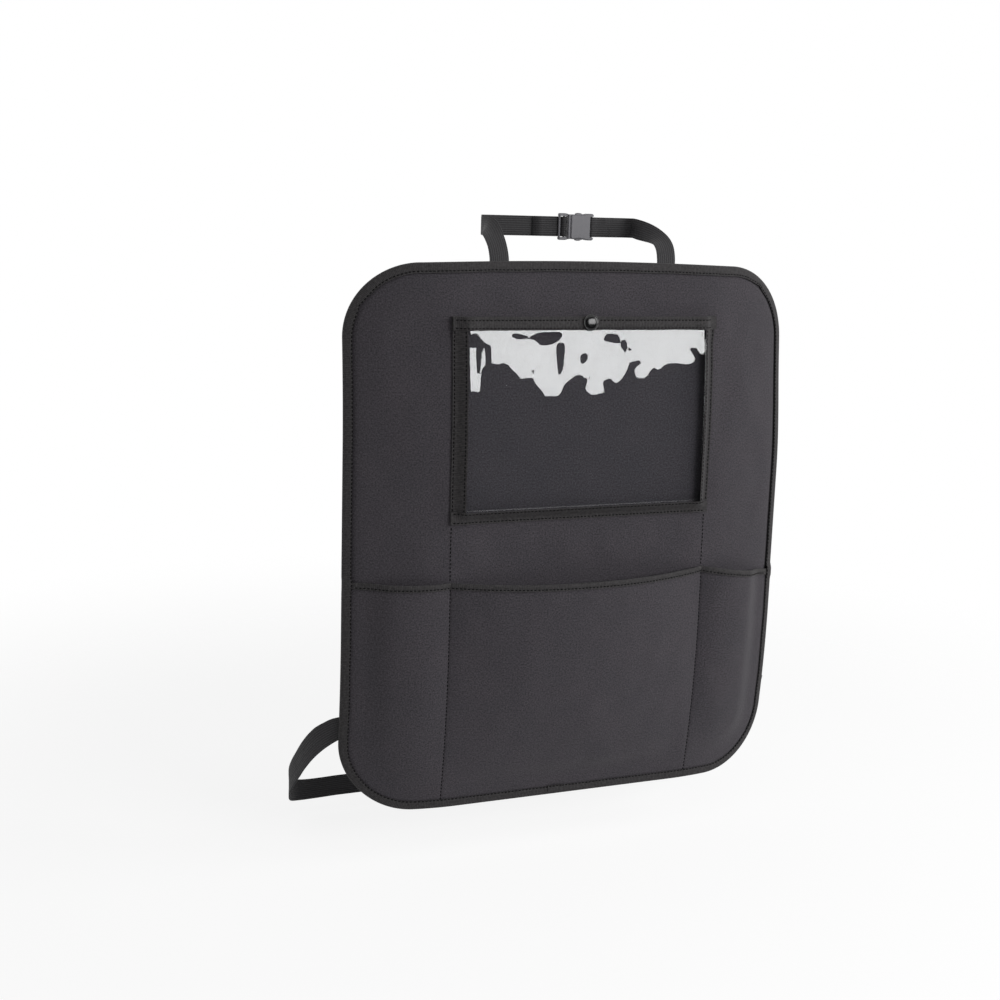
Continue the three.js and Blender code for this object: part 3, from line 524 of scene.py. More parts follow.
def stitch_row(path, normals, sizes):
    """Points and faces of thread stitches along a path of points, lying on the side of the normals."""
    pitch, length, radius = sizes.stitch_pitch / MM, sizes.stitch_length / MM, sizes.thread / MM / 2
    path, normals = np.asarray(path, float), np.asarray(normals, float)
    along = path_length(path)
    starts = np.arange(0.5, along[-1] - length, pitch)
    lift = radius * np.array([-0.9, 0.1, 0.3, 0.1, -0.9])[:, None]
    girth = radius * np.array([0.7, 1, 1, 1, 0.7])[:, None]
    s = starts[:, None] + np.array([0, 0.2, 0.5, 0.8, 1]) * length
    run = unit(sampled(s + 0.3, along, path) - sampled(s - 0.3, along, path))
    up = sampled(s, along, normals)
    up = unit(up - (up * run).sum(-1, keepdims=True) * run)
    side = np.cross(run, up)
    turns = np.linspace(0, 2 * math.pi, 6, endpoint=False)
    rings = (
        (sampled(s, along, path) + up * lift)[:, :, None]
        + up[:, :, None] * (girth * np.cos(turns))[..., None]
        + side[:, :, None] * (girth * np.sin(turns))[..., None]
    )
    index = np.arange(rings[..., 0].size).reshape(rings.shape[:3])
    wrapped = np.concatenate([index, index[:, :, :1]], 2)
    faces = quads(wrapped[:, :-1, :-1], wrapped[:, :-1, 1:], wrapped[:, 1:, 1:], wrapped[:, 1:, :-1])
    caps = np.concatenate([index[:, 0, ::-1], index[:, -1]])
    return rings.reshape(-1, 3), faces.tolist() + caps.tolist()


def stitches(name, rows, material):
    """One piece of thread from several rows."""
    points, faces, count = [], [], 0
    for row_points, row_faces in rows:
        points.append(row_points)
        faces += [[i + count for i in face] for face in row_faces]
        count += len(row_points)
    points = np.concatenate(points)
    return new_piece(name, points, faces, points[:, [0, 2]] * MM, material, "binding_tape")


def surface_row(x, z, offset, sizes, front=True):
    """A row of stitches on a sheet whose outer face is at `offset(x, z)`."""
    x, z = np.broadcast_arrays(np.asarray(x, float), np.asarray(z, float))
    step = 0.5

    def at(dx, dz):
        return on_panel(x + dx, z + dz, offset(x + dx, z + dz))

    du, dv = at(step, 0) - at(-step, 0), at(0, step) - at(0, -step)
    return stitch_row(at(0, 0), np.cross(du, dv) if front else np.cross(dv, du), sizes)


# Materials


def add(tree, kind, sockets=None, **settings):
    """One node with its settings, and its sockets given as values or as the sockets that feed them."""
    node = tree.nodes.new(kind)
    for key, value in settings.items():
        setattr(node, key, value)
    for key, value in (sockets or {}).items():
        if isinstance(value, bpy.types.NodeSocket):
            tree.links.new(value, node.inputs[key])
        else:
            node.inputs[key].default_value = value
    return node


def new_material(name):
    material = bpy.data.materials.new(name)
    material.use_nodes = True
    material.node_tree.nodes.clear()
    return material, material.node_tree


def shaded(name, sockets, build=None):
    """A material with one Principled shader, whose colour, roughness and bump `build` may feed."""
    found = bpy.data.materials.get(name)
    if found:
        return found
    material, tree = new_material(name)
    fed = build(tree) if build else {}
    shader = add(tree, "ShaderNodeBsdfPrincipled", {**sockets, **fed})
    add(tree, "ShaderNodeOutputMaterial", {"Surface": shader.outputs[0]})
    return material


def opaque(colour):
    return (*colour, 1)


def wave_scale(pitch):
    """Scale at which a Wave texture repeats every `pitch` millimetres of UV."""
    return 2 * math.pi / (20 * pitch * MM)


def fibre_colour(tree, uv, colour, height, painted_weave_shade, fuzz, grain):
    """The colour, with painted shade in the hollows between the threads, and speckled by loose fibres."""
    fibres = add(tree, "ShaderNodeTexNoise", {"Vector": uv, **fuzz})
    # painted shade: the weave's height darkens its hollows and lightens its crowns in the colour
    shade = add(tree, "ShaderNodeMapRange", {"Value": height, **painted_weave_shade})
    speckles = add(tree, "ShaderNodeMapRange", {"Value": fibres.outputs["Fac"], **grain})
    factors = {0: shade.outputs["Result"], 1: speckles.outputs["Result"]}
    both = add(tree, "ShaderNodeMath", factors, operation="MULTIPLY")
    scaled = add(tree, "ShaderNodeVectorMath", {0: colour, "Scale": both.outputs[0]}, operation="SCALE")
    return scaled.outputs[0]


def woven_cloth(colours):
    """Plain woven polyester, 600 denier, coated behind: matt, with a dry sheen and a fine even grain.

    Its real threads are 0.45 mm apart. They are drawn 0.9 mm apart, so that they show.
    """
    thread = 0.9

    def build(tree):
        uv = add(tree, "ShaderNodeTexCoord").outputs["UV"]
        lines = {"Vector": uv, "Scale": wave_scale(thread)}
        warp = add(tree, "ShaderNodeTexWave", lines, bands_direction="X")
        weft = add(tree, "ShaderNodeTexWave", lines, bands_direction="Y")
        over = add(tree, "ShaderNodeTexChecker", {"Vector": uv, "Scale": 1 / (thread * MM)})
        crossing = {0: over.outputs["Fac"], 2: warp.outputs["Fac"], 3: weft.outputs["Fac"]}
        weave = add(tree, "ShaderNodeMix", crossing, data_type="FLOAT").outputs[0]
        cast = add(tree, "ShaderNodeTexNoise", {"Vector": uv, "Scale": 22, "Detail": 4, "Roughness": 0.6})
        patches = {"Value": cast.outputs["Fac"], "From Min": 0.35, "From Max": 0.68}
        spread = add(tree, "ShaderNodeMapRange", patches)
        dyes = {0: spread.outputs["Result"], 6: opaque(colours.cloth), 7: opaque(colours.cloth_cast)}
        tint = add(tree, "ShaderNodeMix", dyes, data_type="RGBA").outputs[2]
        # painted shade of the weave: its hollows at 0.66 and its crowns at 1.2 times the colour
        painted_weave_shade = {"To Min": 0.66, "To Max": 1.2}
        fuzz = {"Scale": 620, "Detail": 2, "Roughness": 0.8}
        grain = {"From Min": 0.32, "From Max": 0.68, "To Min": 0.45, "To Max": 1.55}
        bump = add(tree, "ShaderNodeBump", {"Height": weave, "Strength": 0.35, "Distance": 0.12 * MM})
        colour = fibre_colour(tree, uv, tint, weave, painted_weave_shade, fuzz, grain)
        return {"Base Color": colour, "Normal": bump.outputs[0]}

    sockets = {"Roughness": 0.86, "IOR": 1.5, "Specular IOR Level": 0.32, "Sheen Weight": 0.12}
    return shaded("Woven Polyester", {**sockets, "Sheen Roughness": 0.5}, build)


def ribbed_tape(colours):
    """Grosgrain polyester tape: dull with a slight lustre, and ribbed across.

    Its real ribs are 1.1 mm apart. They are drawn 1.7 mm apart, so that they show.
    """
    rib, end = 1.7, 0.55

    def build(tree):
        uv = add(tree, "ShaderNodeTexCoord").outputs["UV"]
        uneven = {"Distortion": 0.6, "Detail": 1, "Detail Scale": 2}
        across = {"Vector": uv, "Scale": wave_scale(rib), **uneven}
        ribs = add(tree, "ShaderNodeTexWave", across, bands_direction="Y")
        along = {"Vector": uv, "Scale": wave_scale(end)}
        ends = add(tree, "ShaderNodeTexWave", along, bands_direction="X")
        weave = {0: 0.25, 2: ribs.outputs["Fac"], 3: ends.outputs["Fac"]}
        height = add(tree, "ShaderNodeMix", weave, data_type="FLOAT").outputs[0]
        # painted shade of the ribs: their hollows at 0.6 and their crowns at 1.28 times the colour
        painted_weave_shade = {"To Min": 0.6, "To Max": 1.28}
        fuzz = {"Scale": 360, "Detail": 4, "Roughness": 0.8}
        grain = {"From Min": 0.36, "From Max": 0.64, "To Min": 0.55, "To Max": 1.5}
        bump = add(tree, "ShaderNodeBump", {"Height": height, "Strength": 0.5, "Distance": 0.2 * MM})
        colour = fibre_colour(tree, uv, tuple(colours.tape), height, painted_weave_shade, fuzz, grain)
        return {"Base Color": colour, "Normal": bump.outputs[0]}

    sockets = {"Roughness": 0.74, "IOR": 1.5, "Specular IOR Level": 0.3, "Sheen Weight": 0.06}
    return shaded("Grosgrain Polyester Tape", {**sockets, "Sheen Roughness": 0.4}, build)


def ribbed_webbing(colours):
    """Woven polyester webbing: lengthwise cords 2.2 mm apart, bound by finer crosswise threads."""
    cord, binder = 2.2, 1.7

    def build(tree):
        uv = add(tree, "ShaderNodeTexCoord").outputs["UV"]
        along = {"Vector": uv, "Scale": wave_scale(cord)}
        cords = add(tree, "ShaderNodeTexWave", along, bands_direction="X")
        across = {"Vector": uv, "Scale": wave_scale(binder), "Distortion": 0.4, "Detail": 1}
        binders = add(tree, "ShaderNodeTexWave", across, bands_direction="Y")
        weave = {0: 0.22, 2: cords.outputs["Fac"], 3: binders.outputs["Fac"]}
        height = add(tree, "ShaderNodeMix", weave, data_type="FLOAT").outputs[0]
        # painted shade of the cords: the hollows between them at 0.3 and their crowns at 1.5 times the colour
        painted_weave_shade = {"To Min": 0.3, "To Max": 1.5}
        fuzz = {"Scale": 800, "Detail": 3, "Roughness": 0.7}
        grain = {"From Min": 0.3, "From Max": 0.7, "To Min": 0.8, "To Max": 1.2}
        bump = add(tree, "ShaderNodeBump", {"Height": height, "Strength": 0.7, "Distance": 0.3 * MM})
        colour = fibre_colour(tree, uv, tuple(colours.webbing), height, painted_weave_shade, fuzz, grain)
        return {"Base Color": colour, "Normal": bump.outputs[0]}

    sockets = {"Roughness": 0.68, "IOR": 1.5, "Specular IOR Level": 0.4, "Sheen Weight": 0.1}
    return shaded("Woven Polyester Webbing", {**sockets, "Sheen Roughness": 0.4}, build)


def spun_thread(colours):
    """Spun polyester thread: matt black, because its fibres break up the light."""
    sockets = {"Base Color": opaque(colours.thread), "Roughness": 0.8, "IOR": 1.53}
    return shaded("Spun Polyester Thread", {**sockets, "Specular IOR Level": 0.12})


def clear_film(colours):
    """Calendered soft PVC: clear and glossy, so that lamps show in its swells with bent edges."""
    sockets = {"Base Color": opaque(colours.film), "Transmission Weight": 1.0, "IOR": 1.53, "Roughness": 0.0}
    return shaded("Calendered Clear PVC", sockets)


def moulded_acetal(colours):
    """Moulded acetal: satin, with the faint pebble of a spark-eroded mould."""

    def build(tree):
        place = add(tree, "ShaderNodeTexCoord").outputs["Object"]
        pebble = add(tree, "ShaderNodeTexNoise", {"Vector": place, "Scale": 2200, "Detail": 2})
        flow = add(tree, "ShaderNodeTexNoise", {"Vector": place, "Scale": 90, "Detail": 3}).outputs["Fac"]
        roughness = add(tree, "ShaderNodeMapRange", {"Value": flow, "To Min": 0.34, "To Max": 0.52})
        shade = add(tree, "ShaderNodeMapRange", {"Value": flow, "To Min": 0.92, "To Max": 1.08})
        factors = {0: tuple(colours.plastic), "Scale": shade.outputs["Result"]}
        colour = add(tree, "ShaderNodeVectorMath", factors, operation="SCALE")
        relief = {"Height": pebble.outputs["Fac"], "Strength": 0.25, "Distance": 0.08 * MM}
        bump = add(tree, "ShaderNodeBump", relief)
        finish = {"Roughness": roughness.outputs["Result"], "Normal": bump.outputs[0]}
        return {"Base Color": colour.outputs[0], **finish}

    return shaded("Moulded Acetal", {"IOR": 1.48}, build)


def stud_lacquer(colours):
    """Stove lacquer on pressed brass: black and glossy, with hairline rub marks."""

    def build(tree):
        place = add(tree, "ShaderNodeTexCoord").outputs["Object"]
        rub = add(tree, "ShaderNodeTexNoise", {"Vector": place, "Scale": 500, "Detail": 4, "Roughness": 0.7})
        marks = {"From Min": 0.4, "From Max": 0.8, "To Min": 0.12, "To Max": 0.3}
        roughness = add(tree, "ShaderNodeMapRange", {"Value": rub.outputs["Fac"], **marks})
        return {"Roughness": roughness.outputs["Result"]}

    return shaded("Stove Lacquered Brass", {"Base Color": opaque(colours.lacquer), "IOR": 1.5}, build)


# Panel and binding


def corner_columns(count):
    """Column positions round a corner, from its start to the side edge."""
    return CORNER_X + (CORNER_RADIUS - PANEL_INSET) * np.sin(np.radians(np.linspace(0, 90, count)))


def panel_wave(x, z, wave):
    """Swells of the padded panel's face. It lies still under the window, the stud and the pocket's cloth."""
    free = smooth(edge_distance(x, z), BINDING_WIDTH, BINDING_WIDTH + 30)
    past_window = np.maximum(np.abs(x) - WINDOW_HALF_WIDTH, np.maximum(WINDOW_BOTTOM_Z - z, z - WINDOW_TOP_Z))
    above = smooth(z - pocket_top(x), 4, 26)
    swells = wave * (2.6 * ripple(x, z, 85, 3.1) + 1.3 * ripple(x, z, 31, 8.4) - 0.2)
    swells = 1.6 * np.tanh(swells / 1.6)
    fold = 0.9 * crease(x, z, (-146, 28), (-205, 30), 3.0) - 0.7 * crease(x, z, (-146, 33), (-200, 35), 3.0)
    return (swells + fold) * free * smooth(past_window, 1, 14) * above


def beside_binding(x, z):
    """1 under the binding, falling to 0 over the narrow valley that its stitches pull the cloth into."""
    return 1 - smooth(edge_distance(x, z), BINDING_WIDTH - 1, BINDING_WIDTH + 2.8)


def panel_front(x, z, wave):
    """Offset of the panel's face: the foam is pressed thinner where the binding holds it."""
    held = 0.3 * (1 - smooth(edge_distance(x, z), BINDING_WIDTH - 2, BINDING_WIDTH + 9))
    return PANEL_THICKNESS - held - 1.4 * beside_binding(x, z) + panel_wave(x, z, wave)


def outline():
    """Points round the outline with the direction inwards, counter-clockwise from the bottom left."""
    across = fine(-CORNER_X, CORNER_X, STATION_STEP)
    beside_lap = LAP_HALF_WIDTH + np.array([0.6, 0, -0.5])  # so that the end of the tape is cut sharp
    foot = np.unique(np.concatenate([across, LAP_X - beside_lap, LAP_X + beside_lap]))
    upright = fine(CORNER_BOTTOM_Z, CORNER_TOP_Z, STATION_STEP)
    angles = np.radians(fine(0, 90, math.degrees(STATION_STEP / CORNER_RADIUS))[1:-1])

    def straight(x, z, inward):
        return np.stack(np.broadcast_arrays(np.asarray(x, float), z, *inward), -1)

    def corner(x, z, start):
        out = np.stack([np.cos(angles + math.radians(start)), np.sin(angles + math.radians(start))], -1)
        return np.concatenate([np.array([x, z]) + CORNER_RADIUS * out, -out], -1)

    parts = [
        straight(foot, bottom_edge(foot, 0), (0, 1)),
        corner(CORNER_X, CORNER_BOTTOM_Z, -90),
        straight(WIDTH / 2, upright, (-1, 0)),
        corner(CORNER_X, CORNER_TOP_Z, 0),
        straight(across[::-1], top_edge(across[::-1], 0), (0, -1)),
        corner(-CORNER_X, CORNER_TOP_Z, 90),
        straight(-WIDTH / 2, upright[::-1], (1, 0)),
        corner(-CORNER_X, CORNER_BOTTOM_Z, 180),
    ]
    return np.concatenate(parts)


def caught_layers(x, z):
    """Room under the binding's front leg: more where the pocket cloth or its hem is caught."""
    top = pocket_top(x)
    below = 1 - smooth(z, top + 1, top + 5)
    hem = POCKET_CLOTH * smooth(z, top - HEM_WIDTH - 5, top - HEM_WIDTH - 1) * below
    return PANEL_THICKNESS + LAYER_GAP + (POCKET_CLOTH + LAYER_GAP) * below + hem


def stitch_share(stations):
    """Where on the binding's leg the stitches run: nearer its inner edge along the sides and the foot."""
    return 0.75 + 0.15 * (1 - smooth(-stations[:, 3], 0.5, 0.9))


def binding_lap(stations):
    """1 where the end of the tape lies over its start."""
    x, z = stations[:, 0], stations[:, 1]
    return (z < 0) * smooth(LAP_HALF_WIDTH - np.abs(x - LAP_X), 0, 0.5)


def binding_puffs(along, inset):
    """Small swells and pleats of the tape, most where it is eased round a corner."""
    slow, quick = wander(along, 17, 0.0, 5.0), wander(along, 5.5, 0.0, 9.0)
    return 0.16 * slow[:, None] + 0.12 * quick[:, None] * smooth(inset, 1, 7)


def binding_reach(stations, along):
    """Width of the tape's legs: wider along the top and foot than along the sides, with two pleats."""
    x, z, in_x, in_z = stations.T
    reach = BINDING_WIDTH + 1.1 * np.abs(in_z) - np.abs(in_x) + 0.5 * wander(along, 34, 2.0, 1.0)
    for side, turn in ((-1, 27), (1, 52)):
        angle = np.degrees(np.arctan2(-in_z, -in_x * side))
        at_corner = (np.abs(x) > CORNER_X) & (z > CORNER_TOP_Z) & (x * side > 0)
        past = (angle - turn) * math.radians(CORNER_RADIUS)
        notch = np.where(past > 0, np.exp(-past / 9), np.exp(past / 1.6))
        reach = reach - 2.3 * notch * at_corner
    return reach + 0.9 * binding_lap(stations)


def binding_contours(stations, along):
    """Outer and inner contour of the folded tape at each station."""
    share = LEG_SHARES
    turn = np.radians(np.array([90, 66, 42, 20, 0, -20, -42, -66, -90]))
    x, z, in_x, in_z = (column[:, None] for column in stations.T)
    room = caught_layers(x, z)
    puff = binding_puffs(along, FOLD_INSET + (BINDING_WIDTH - FOLD_INSET) * share)
    groove = 0.5 * hump(share - stitch_share(stations)[:, None], 0.11)
    leg_inset = FOLD_INSET + (binding_reach(stations, along) - FOLD_INSET)[:, None] * share
    lip = 0.3 * smooth(share, 0.9, 1.0)
    lap = 0.9 * binding_lap(stations)[:, None] * smooth(share, 0, 0.14)

    def contour(wall, tip, half):
        front_leg = room + wall + (puff + lap - groove - lip) * (wall > 0)
        back_leg = np.full(leg_inset.shape, -LAYER_GAP - wall)
        middle = (room - LAYER_GAP) / 2
        reach = (room + LAYER_GAP) / 2 + wall
        turn_inset = tip + half * (1 - np.cos(turn)) + 0 * x
        inset = np.concatenate([leg_inset, turn_inset, leg_inset[:, ::-1]], 1)
        offset = np.concatenate([front_leg, middle + reach * np.sin(turn), back_leg], 1)
        return on_panel(x + inset * in_x, z + inset * in_z, offset)

    outer = contour(TAPE_THICKNESS, 0.0, FOLD_DEPTH)
    inner = contour(0.0, TAPE_THICKNESS, FOLD_DEPTH - TAPE_THICKNESS + 0.9)
    return outer, inner


def binding_shape():
    """Stations round the edge, the length along it, and the tape's outer and inner contours."""
    stations = outline()
    along = path_length(on_panel(stations[:, 0], stations[:, 1], 0))
    return stations, along, *binding_contours(stations, along)


class ORGANIZER_OT_panel(bpy.types.Operator):
    """Padded cloth panel"""

    bl_idname = "organizer.panel"
    bl_label = "Panel"

    def execute(self, context):
        wave = context.scene.organizer_sizes.cloth_wave / MM
        corner = corner_columns(31)
        columns = np.concatenate([-corner[::-1], fine(-CORNER_X, CORNER_X, 3.4)[1:-1], corner])[:, None]
        rim = np.array([0, 3, 5.5, 7, 8.2, 9.4, 10.6, 12, 14, 17])
        low, high = bottom_edge(columns, PANEL_INSET), top_edge(columns, PANEL_INSET)
        middle = low + rim[-1] + (high - low - 2 * rim[-1]) * np.linspace(0, 1, 132)[1:-1]
        z = np.concatenate([low + rim, middle, high - rim[::-1]], 1)
        cloth = woven_cloth(context.scene.organizer_colours)
        faces = (lambda x, z: 0.0 * x, lambda x, z: panel_front(x, z, wave))
        panel = cloth_piece("panel_cloth", columns, z, *faces, cloth, "panel_cloth", edge=0)
        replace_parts(panel, "back_panel")
        return {"FINISHED"}


class ORGANIZER_OT_binding(bpy.types.Operator):
    """Ribbed tape folded over the panel's edge"""

    bl_idname = "organizer.binding"
    bl_label = "Edge Binding"

    def execute(self, context):
        _, along, outer, inner = binding_shape()
        uv = lengthwise_uv(path_length(outer[0]), along)
        tape = ribbed_tape(context.scene.organizer_colours)
        binding = slab("edge_tape", outer, inner, uv, tape, "binding_tape", closed=True)
        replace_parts(binding, "edge_binding")
        return {"FINISHED"}


# Lower pockets


def pocket_wave(x, z, wave):
    """Swells of the pocket cloth, and puckers where the seams hold it."""
    seam = np.abs(np.abs(x) - SEAM_X)
    pucker = 0.55 * np.exp(-seam / 7.0) * smooth(seam, 0.4, 3) * np.sin(z / 2.1 + 2 * np.sin(z / 13.0))
    swells = wave * (ripple(x, z, 62, 11.7) + 0.4 * ripple(x, z, 26, 4.2)) * smooth(seam, 1, 16)
    down = smooth(pocket_top(x) - z, 0, 12)
    return (swells * (0.35 + 0.65 * down) + 0.5 * pucker) * free_cloth(x, z)


def pocket_back(x, z, wave):
    floor = PANEL_THICKNESS + LAYER_GAP
    return np.maximum(floor + gape(x, z) + pocket_wave(x, z, wave), floor)


def on_seam(x):
    return hump(np.abs(x) - SEAM_X, 0.9)


def pocket_front(x, z, wave):
    """The cloth is pulled in under its edge tape's stitches and along the seams."""
    line = 0.3 * hump(pocket_top(x) - z - HEM_WIDTH - 0.4, 1.3)
    return pocket_back(x, z, wave) + POCKET_CLOTH - line - 0.45 * on_seam(x) - 0.6 * beside_binding(x, z)


def edge_tape_front(x, z, wave):
    """Outer face of the tape that is folded over the pockets' top edge."""
    below_top = pocket_top(x) - z
    stitched = 0.32 * hump(below_top - HEM_WIDTH + 1.7, 0.75)
    rounded = 0.75 * (1 - smooth(below_top, 0, 1.5))
    outer = pocket_back(x, z, wave) + 2 * POCKET_CLOTH + 0.1
    return outer - stitched - rounded - 0.3 * on_seam(x) + 0.14 * ripple(x, z, 11, 51.0)


class ORGANIZER_OT_lower_pockets(bpy.types.Operator):
    """One sheet across three pockets, with tape folded over its top edge"""

    bl_idname = "organizer.lower_pockets"
    bl_label = "Lower Pockets"

    def execute(self, context):
        colours = context.scene.organizer_colours
        wave = context.scene.organizer_sizes.pocket_wave / MM
        columns = self.columns()[:, None]
        hem = np.array([10.0, 8.0, 7.0, 6.5, 6.0, 5.6, 5.0, 4.2, 3.2, 2.0, 1.0])
        top, low = pocket_top(columns), bottom_edge(columns, PANEL_INSET)
        lower = low + (top - hem[0] - low) * np.linspace(0, 1, 78)[:-1]
        z = np.concatenate([lower, top - hem], 1)
        faces = (lambda x, z: pocket_back(x, z, wave), lambda x, z: pocket_front(x, z, wave))
        cloth = woven_cloth(colours)
        pockets = cloth_piece("pocket_cloth", columns, z, *faces, cloth, "panel_cloth", edge=CLOTH_EDGE)
        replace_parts(pockets, "lower_pocket_front")
        self.edge_tape(columns, wave, ribbed_tape(colours))
        return {"FINISHED"}

    def columns(self):
        """Column positions across all three pockets, close together at the seams and the sides."""
        by_seam = SEAM_X + np.array([-6, -4, -2.6, -1.4, -0.6, 0, 0.6, 1.4, 2.6, 4, 6])
        between = [fine(0, SEAM_X - 9, 3.2), by_seam, fine(SEAM_X + 9, CORNER_X, 3.0)]
        half = np.unique(np.round(np.concatenate([*between, corner_columns(27)]), 4))
        return np.concatenate([-half[:0:-1], half])

    def edge_tape(self, columns, wave, material):
        """Tape folded over the pockets' top edge. Its front shows, and it is closed against the cloth."""
        hem = np.array([0, 0.35, 0.8, 1.5, 2.4, 3.3, 4.0, 4.5, 5.0, 5.6, 6.1, HEM_WIDTH])
        z = pocket_top(columns) - hem
        lining = np.where(hem > 0.8, POCKET_CLOTH + 0.06, 0.02)
        front = on_panel(columns, z, edge_tape_front(columns, z, wave))
        back = on_panel(columns, z, pocket_back(columns, z, wave) + lining)
        uv = cloth_uv(columns, z)[..., ::-1]
        slab("pocket_edge_tape", front, back, uv, material, "binding_tape", edge=0.2)


# Window pocket


def film_wave(x, z, wave):
    """Swells of the film between its tapes: it bags out under its mouth, and dips there in three places."""
    side = smooth(FILM_HALF_WIDTH - np.abs(x), 0, WINDOW_SLOPE)
    dips = sum(np.exp(-(np.abs((x - at) / half) ** 3)) for at, half in ((-121, 17), (-43, 14), (19, 26)))
    bag = side * smooth(z, 40, 165) * (1.3 - 2.3 * dips * smooth(z, 130, 192)) * (1 - smooth(z, 194, 209))
    free = smooth(FILM_HALF_WIDTH - np.abs(x), 12, 34) * smooth(z - FILM_BOTTOM_Z, 12, 40)
    free = free * (1 - smooth(z, 198, 209.5))
    folds = hump(x + 118, 9) * np.sin((x + 118) / 1.9) * smooth(z, 60, 120)
    swells = 1.5 * ripple(x, z, 58, 21.0) + 0.9 * ripple(x, z / 2.2, 21, 27.0)
    swells = swells + 0.3 * np.sin(x / 17.0 + z / 60.0)
    return bag + wave * (free * swells + 0.22 * side * folds * (1 - smooth(z, 203, 209.5)))


def tape_back(x, z, crossing=False):
    """Back of a tape on the film, lifted over the ends of the side tapes where it crosses them."""
    lift = (TAPE_THICKNESS + LAYER_GAP) * smooth(np.abs(x), 112, 126)
    return film_offset(x, z) + FILM_THICKNESS + LAYER_GAP + crossing * lift


def side_tape_face(x, z):
    return tape_back(x, z) + TAPE_THICKNESS + 0.15 * ripple(x, z, 16, 31.0)


def low_tape_face(x, z):
    return tape_back(x, z, True) + TAPE_THICKNESS + 0.18 * ripple(x, z, 18, 33.0)


def top_tape_face(x, z):
    """Its cloth dips a little round the press stud, which pinches it."""
    pinch = 0.35 * hump(np.hypot(x, z - SNAP_Z), 8.5)
    return tape_back(x, TOP_TAPE_Z, True) + TAPE_THICKNESS - pinch + 0.15 * ripple(x, z, 15, 41.0)


def grooves(place, *rows):
    """Depth of the grooves that the thread pulls into a tape along its rows."""
    return GROOVE_DEPTH * sum(hump(place - row, GROOVE_HALF_WIDTH) for row in rows)


def tape_rows(low, high):
    """Where both rows of stitches run on a tape from low to high."""
    return low + ROW_INSET, high - ROW_INSET


SIDE_ROWS = tape_rows(WINDOW_HALF_WIDTH - WINDOW_TAPE_WIDTH, WINDOW_HALF_WIDTH)
LOW_ROWS = tape_rows(WINDOW_BOTTOM_Z, WINDOW_BOTTOM_Z + WINDOW_TAPE_WIDTH)


class ORGANIZER_OT_window_pocket(bpy.types.Operator):
    """Clear film with ribbed tapes round it"""

    bl_idname = "organizer.window_pocket"
    bl_label = "Window Pocket"

    def execute(self, context):
        colours = context.scene.organizer_colours
        self.film(clear_film(colours), context.scene.organizer_sizes.film_wave / MM)
        self.side_tapes(ribbed_tape(colours))
        self.bottom_tape(ribbed_tape(colours))
        self.top_tape(ribbed_tape(colours))
        return {"FINISHED"}

    def film(self, material, wave):
        x = fine(-FILM_HALF_WIDTH, FILM_HALF_WIDTH, 2.4)[:, None]
        z = fine(FILM_BOTTOM_Z, FILM_TOP_Z, 2.2)

        def back(x, z):
            return film_offset(x, z) + film_wave(x, z, wave)

        def front(x, z):
            return back(x, z) + FILM_THICKNESS

        film = cloth_piece("clear_window", x, z, back, front, material, "clear_film", edge=0)
        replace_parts(film, "window_film")
        # So that the lamps light the cloth behind it through the film
        film.visible_shadow = False
        film.visible_diffuse = False

    def side_tapes(self, material):
        z = fine(FILM_BOTTOM_Z - 1, FILM_TOP_Z - 0.5, 1.9)

        def front(x, z):
            return side_tape_face(x, z) - grooves(np.abs(x), *SIDE_ROWS)

        for side, name in ((-1, "left"), (1, "right")):
            x = side * fine(WINDOW_HALF_WIDTH - WINDOW_TAPE_WIDTH, WINDOW_HALF_WIDTH, 0.65)[:, None]
            sides = (tape_back, front, material, "binding_tape")
            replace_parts(cloth_piece(f"window_{name}_tape", x, z, *sides), f"window_tape_{name}")

    def bottom_tape(self, material):
        x = fine(-WINDOW_HALF_WIDTH, WINDOW_HALF_WIDTH, 1.7)[:, None]
        z = fine(WINDOW_BOTTOM_Z, WINDOW_BOTTOM_Z + WINDOW_TAPE_WIDTH, 0.8)
        faces = (lambda x, z: tape_back(x, z, True), lambda x, z: low_tape_face(x, z) - grooves(z, *LOW_ROWS))
        look = (material, "binding_tape")
        tape = cloth_piece("window_lower_tape", x, z, *faces, *look, along_x=True)
        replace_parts(tape, "window_tape_bottom")

    def top_tape(self, material):
        x = fine(-WINDOW_HALF_WIDTH, WINDOW_HALF_WIDTH + TOP_TAPE_OVERHANG, 1.6)[:, None]
        front = tape_back(x, TOP_TAPE_Z, True)
        back = film_offset(x, TOP_TAPE_Z) - LAYER_GAP
        heights = np.array([0, 0.8, 1.3, 1.8, 2.3, 3, 4.6, 6.2, 7.8, 8.6, 9.0, 9.4, 9.8, 10.6, 11.4])
        turn = np.radians([90, 60, 30, 0, -30, -60, -90])

        def contour(wall, depth):
            top = WINDOW_TOP_Z - (TAPE_THICKNESS - wall)
            leg_z = TOP_TAPE_Z + heights * (top - depth - TOP_TAPE_Z) / heights[-1]
            front_leg = front + 0 * leg_z
            if wall:
                front_leg = top_tape_face(x, leg_z) - grooves(heights, ROW_INSET, SECOND_ROW)
            turning = (front + back) / 2 + ((front - back) / 2 + wall) * np.sin(turn)
            offset = np.concatenate([front_leg, turning, back - wall + 0 * leg_z], 1)
            return on_panel(x, np.concatenate([leg_z, top - depth * (1 - np.cos(turn)), leg_z[::-1]]), offset)

        outer, inner = contour(TAPE_THICKNESS, 1.2), contour(0.0, 0.4)
        uv = lengthwise_uv(path_length(outer[0]), unrolled(x[:, 0], FLAT_HALF_WIDTH, SIDE_BEND_RADIUS))
        tape = slab("window_upper_tape", outer, inner, uv, material, "binding_tape")
        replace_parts(tape, "window_tape_top")


# Hardware


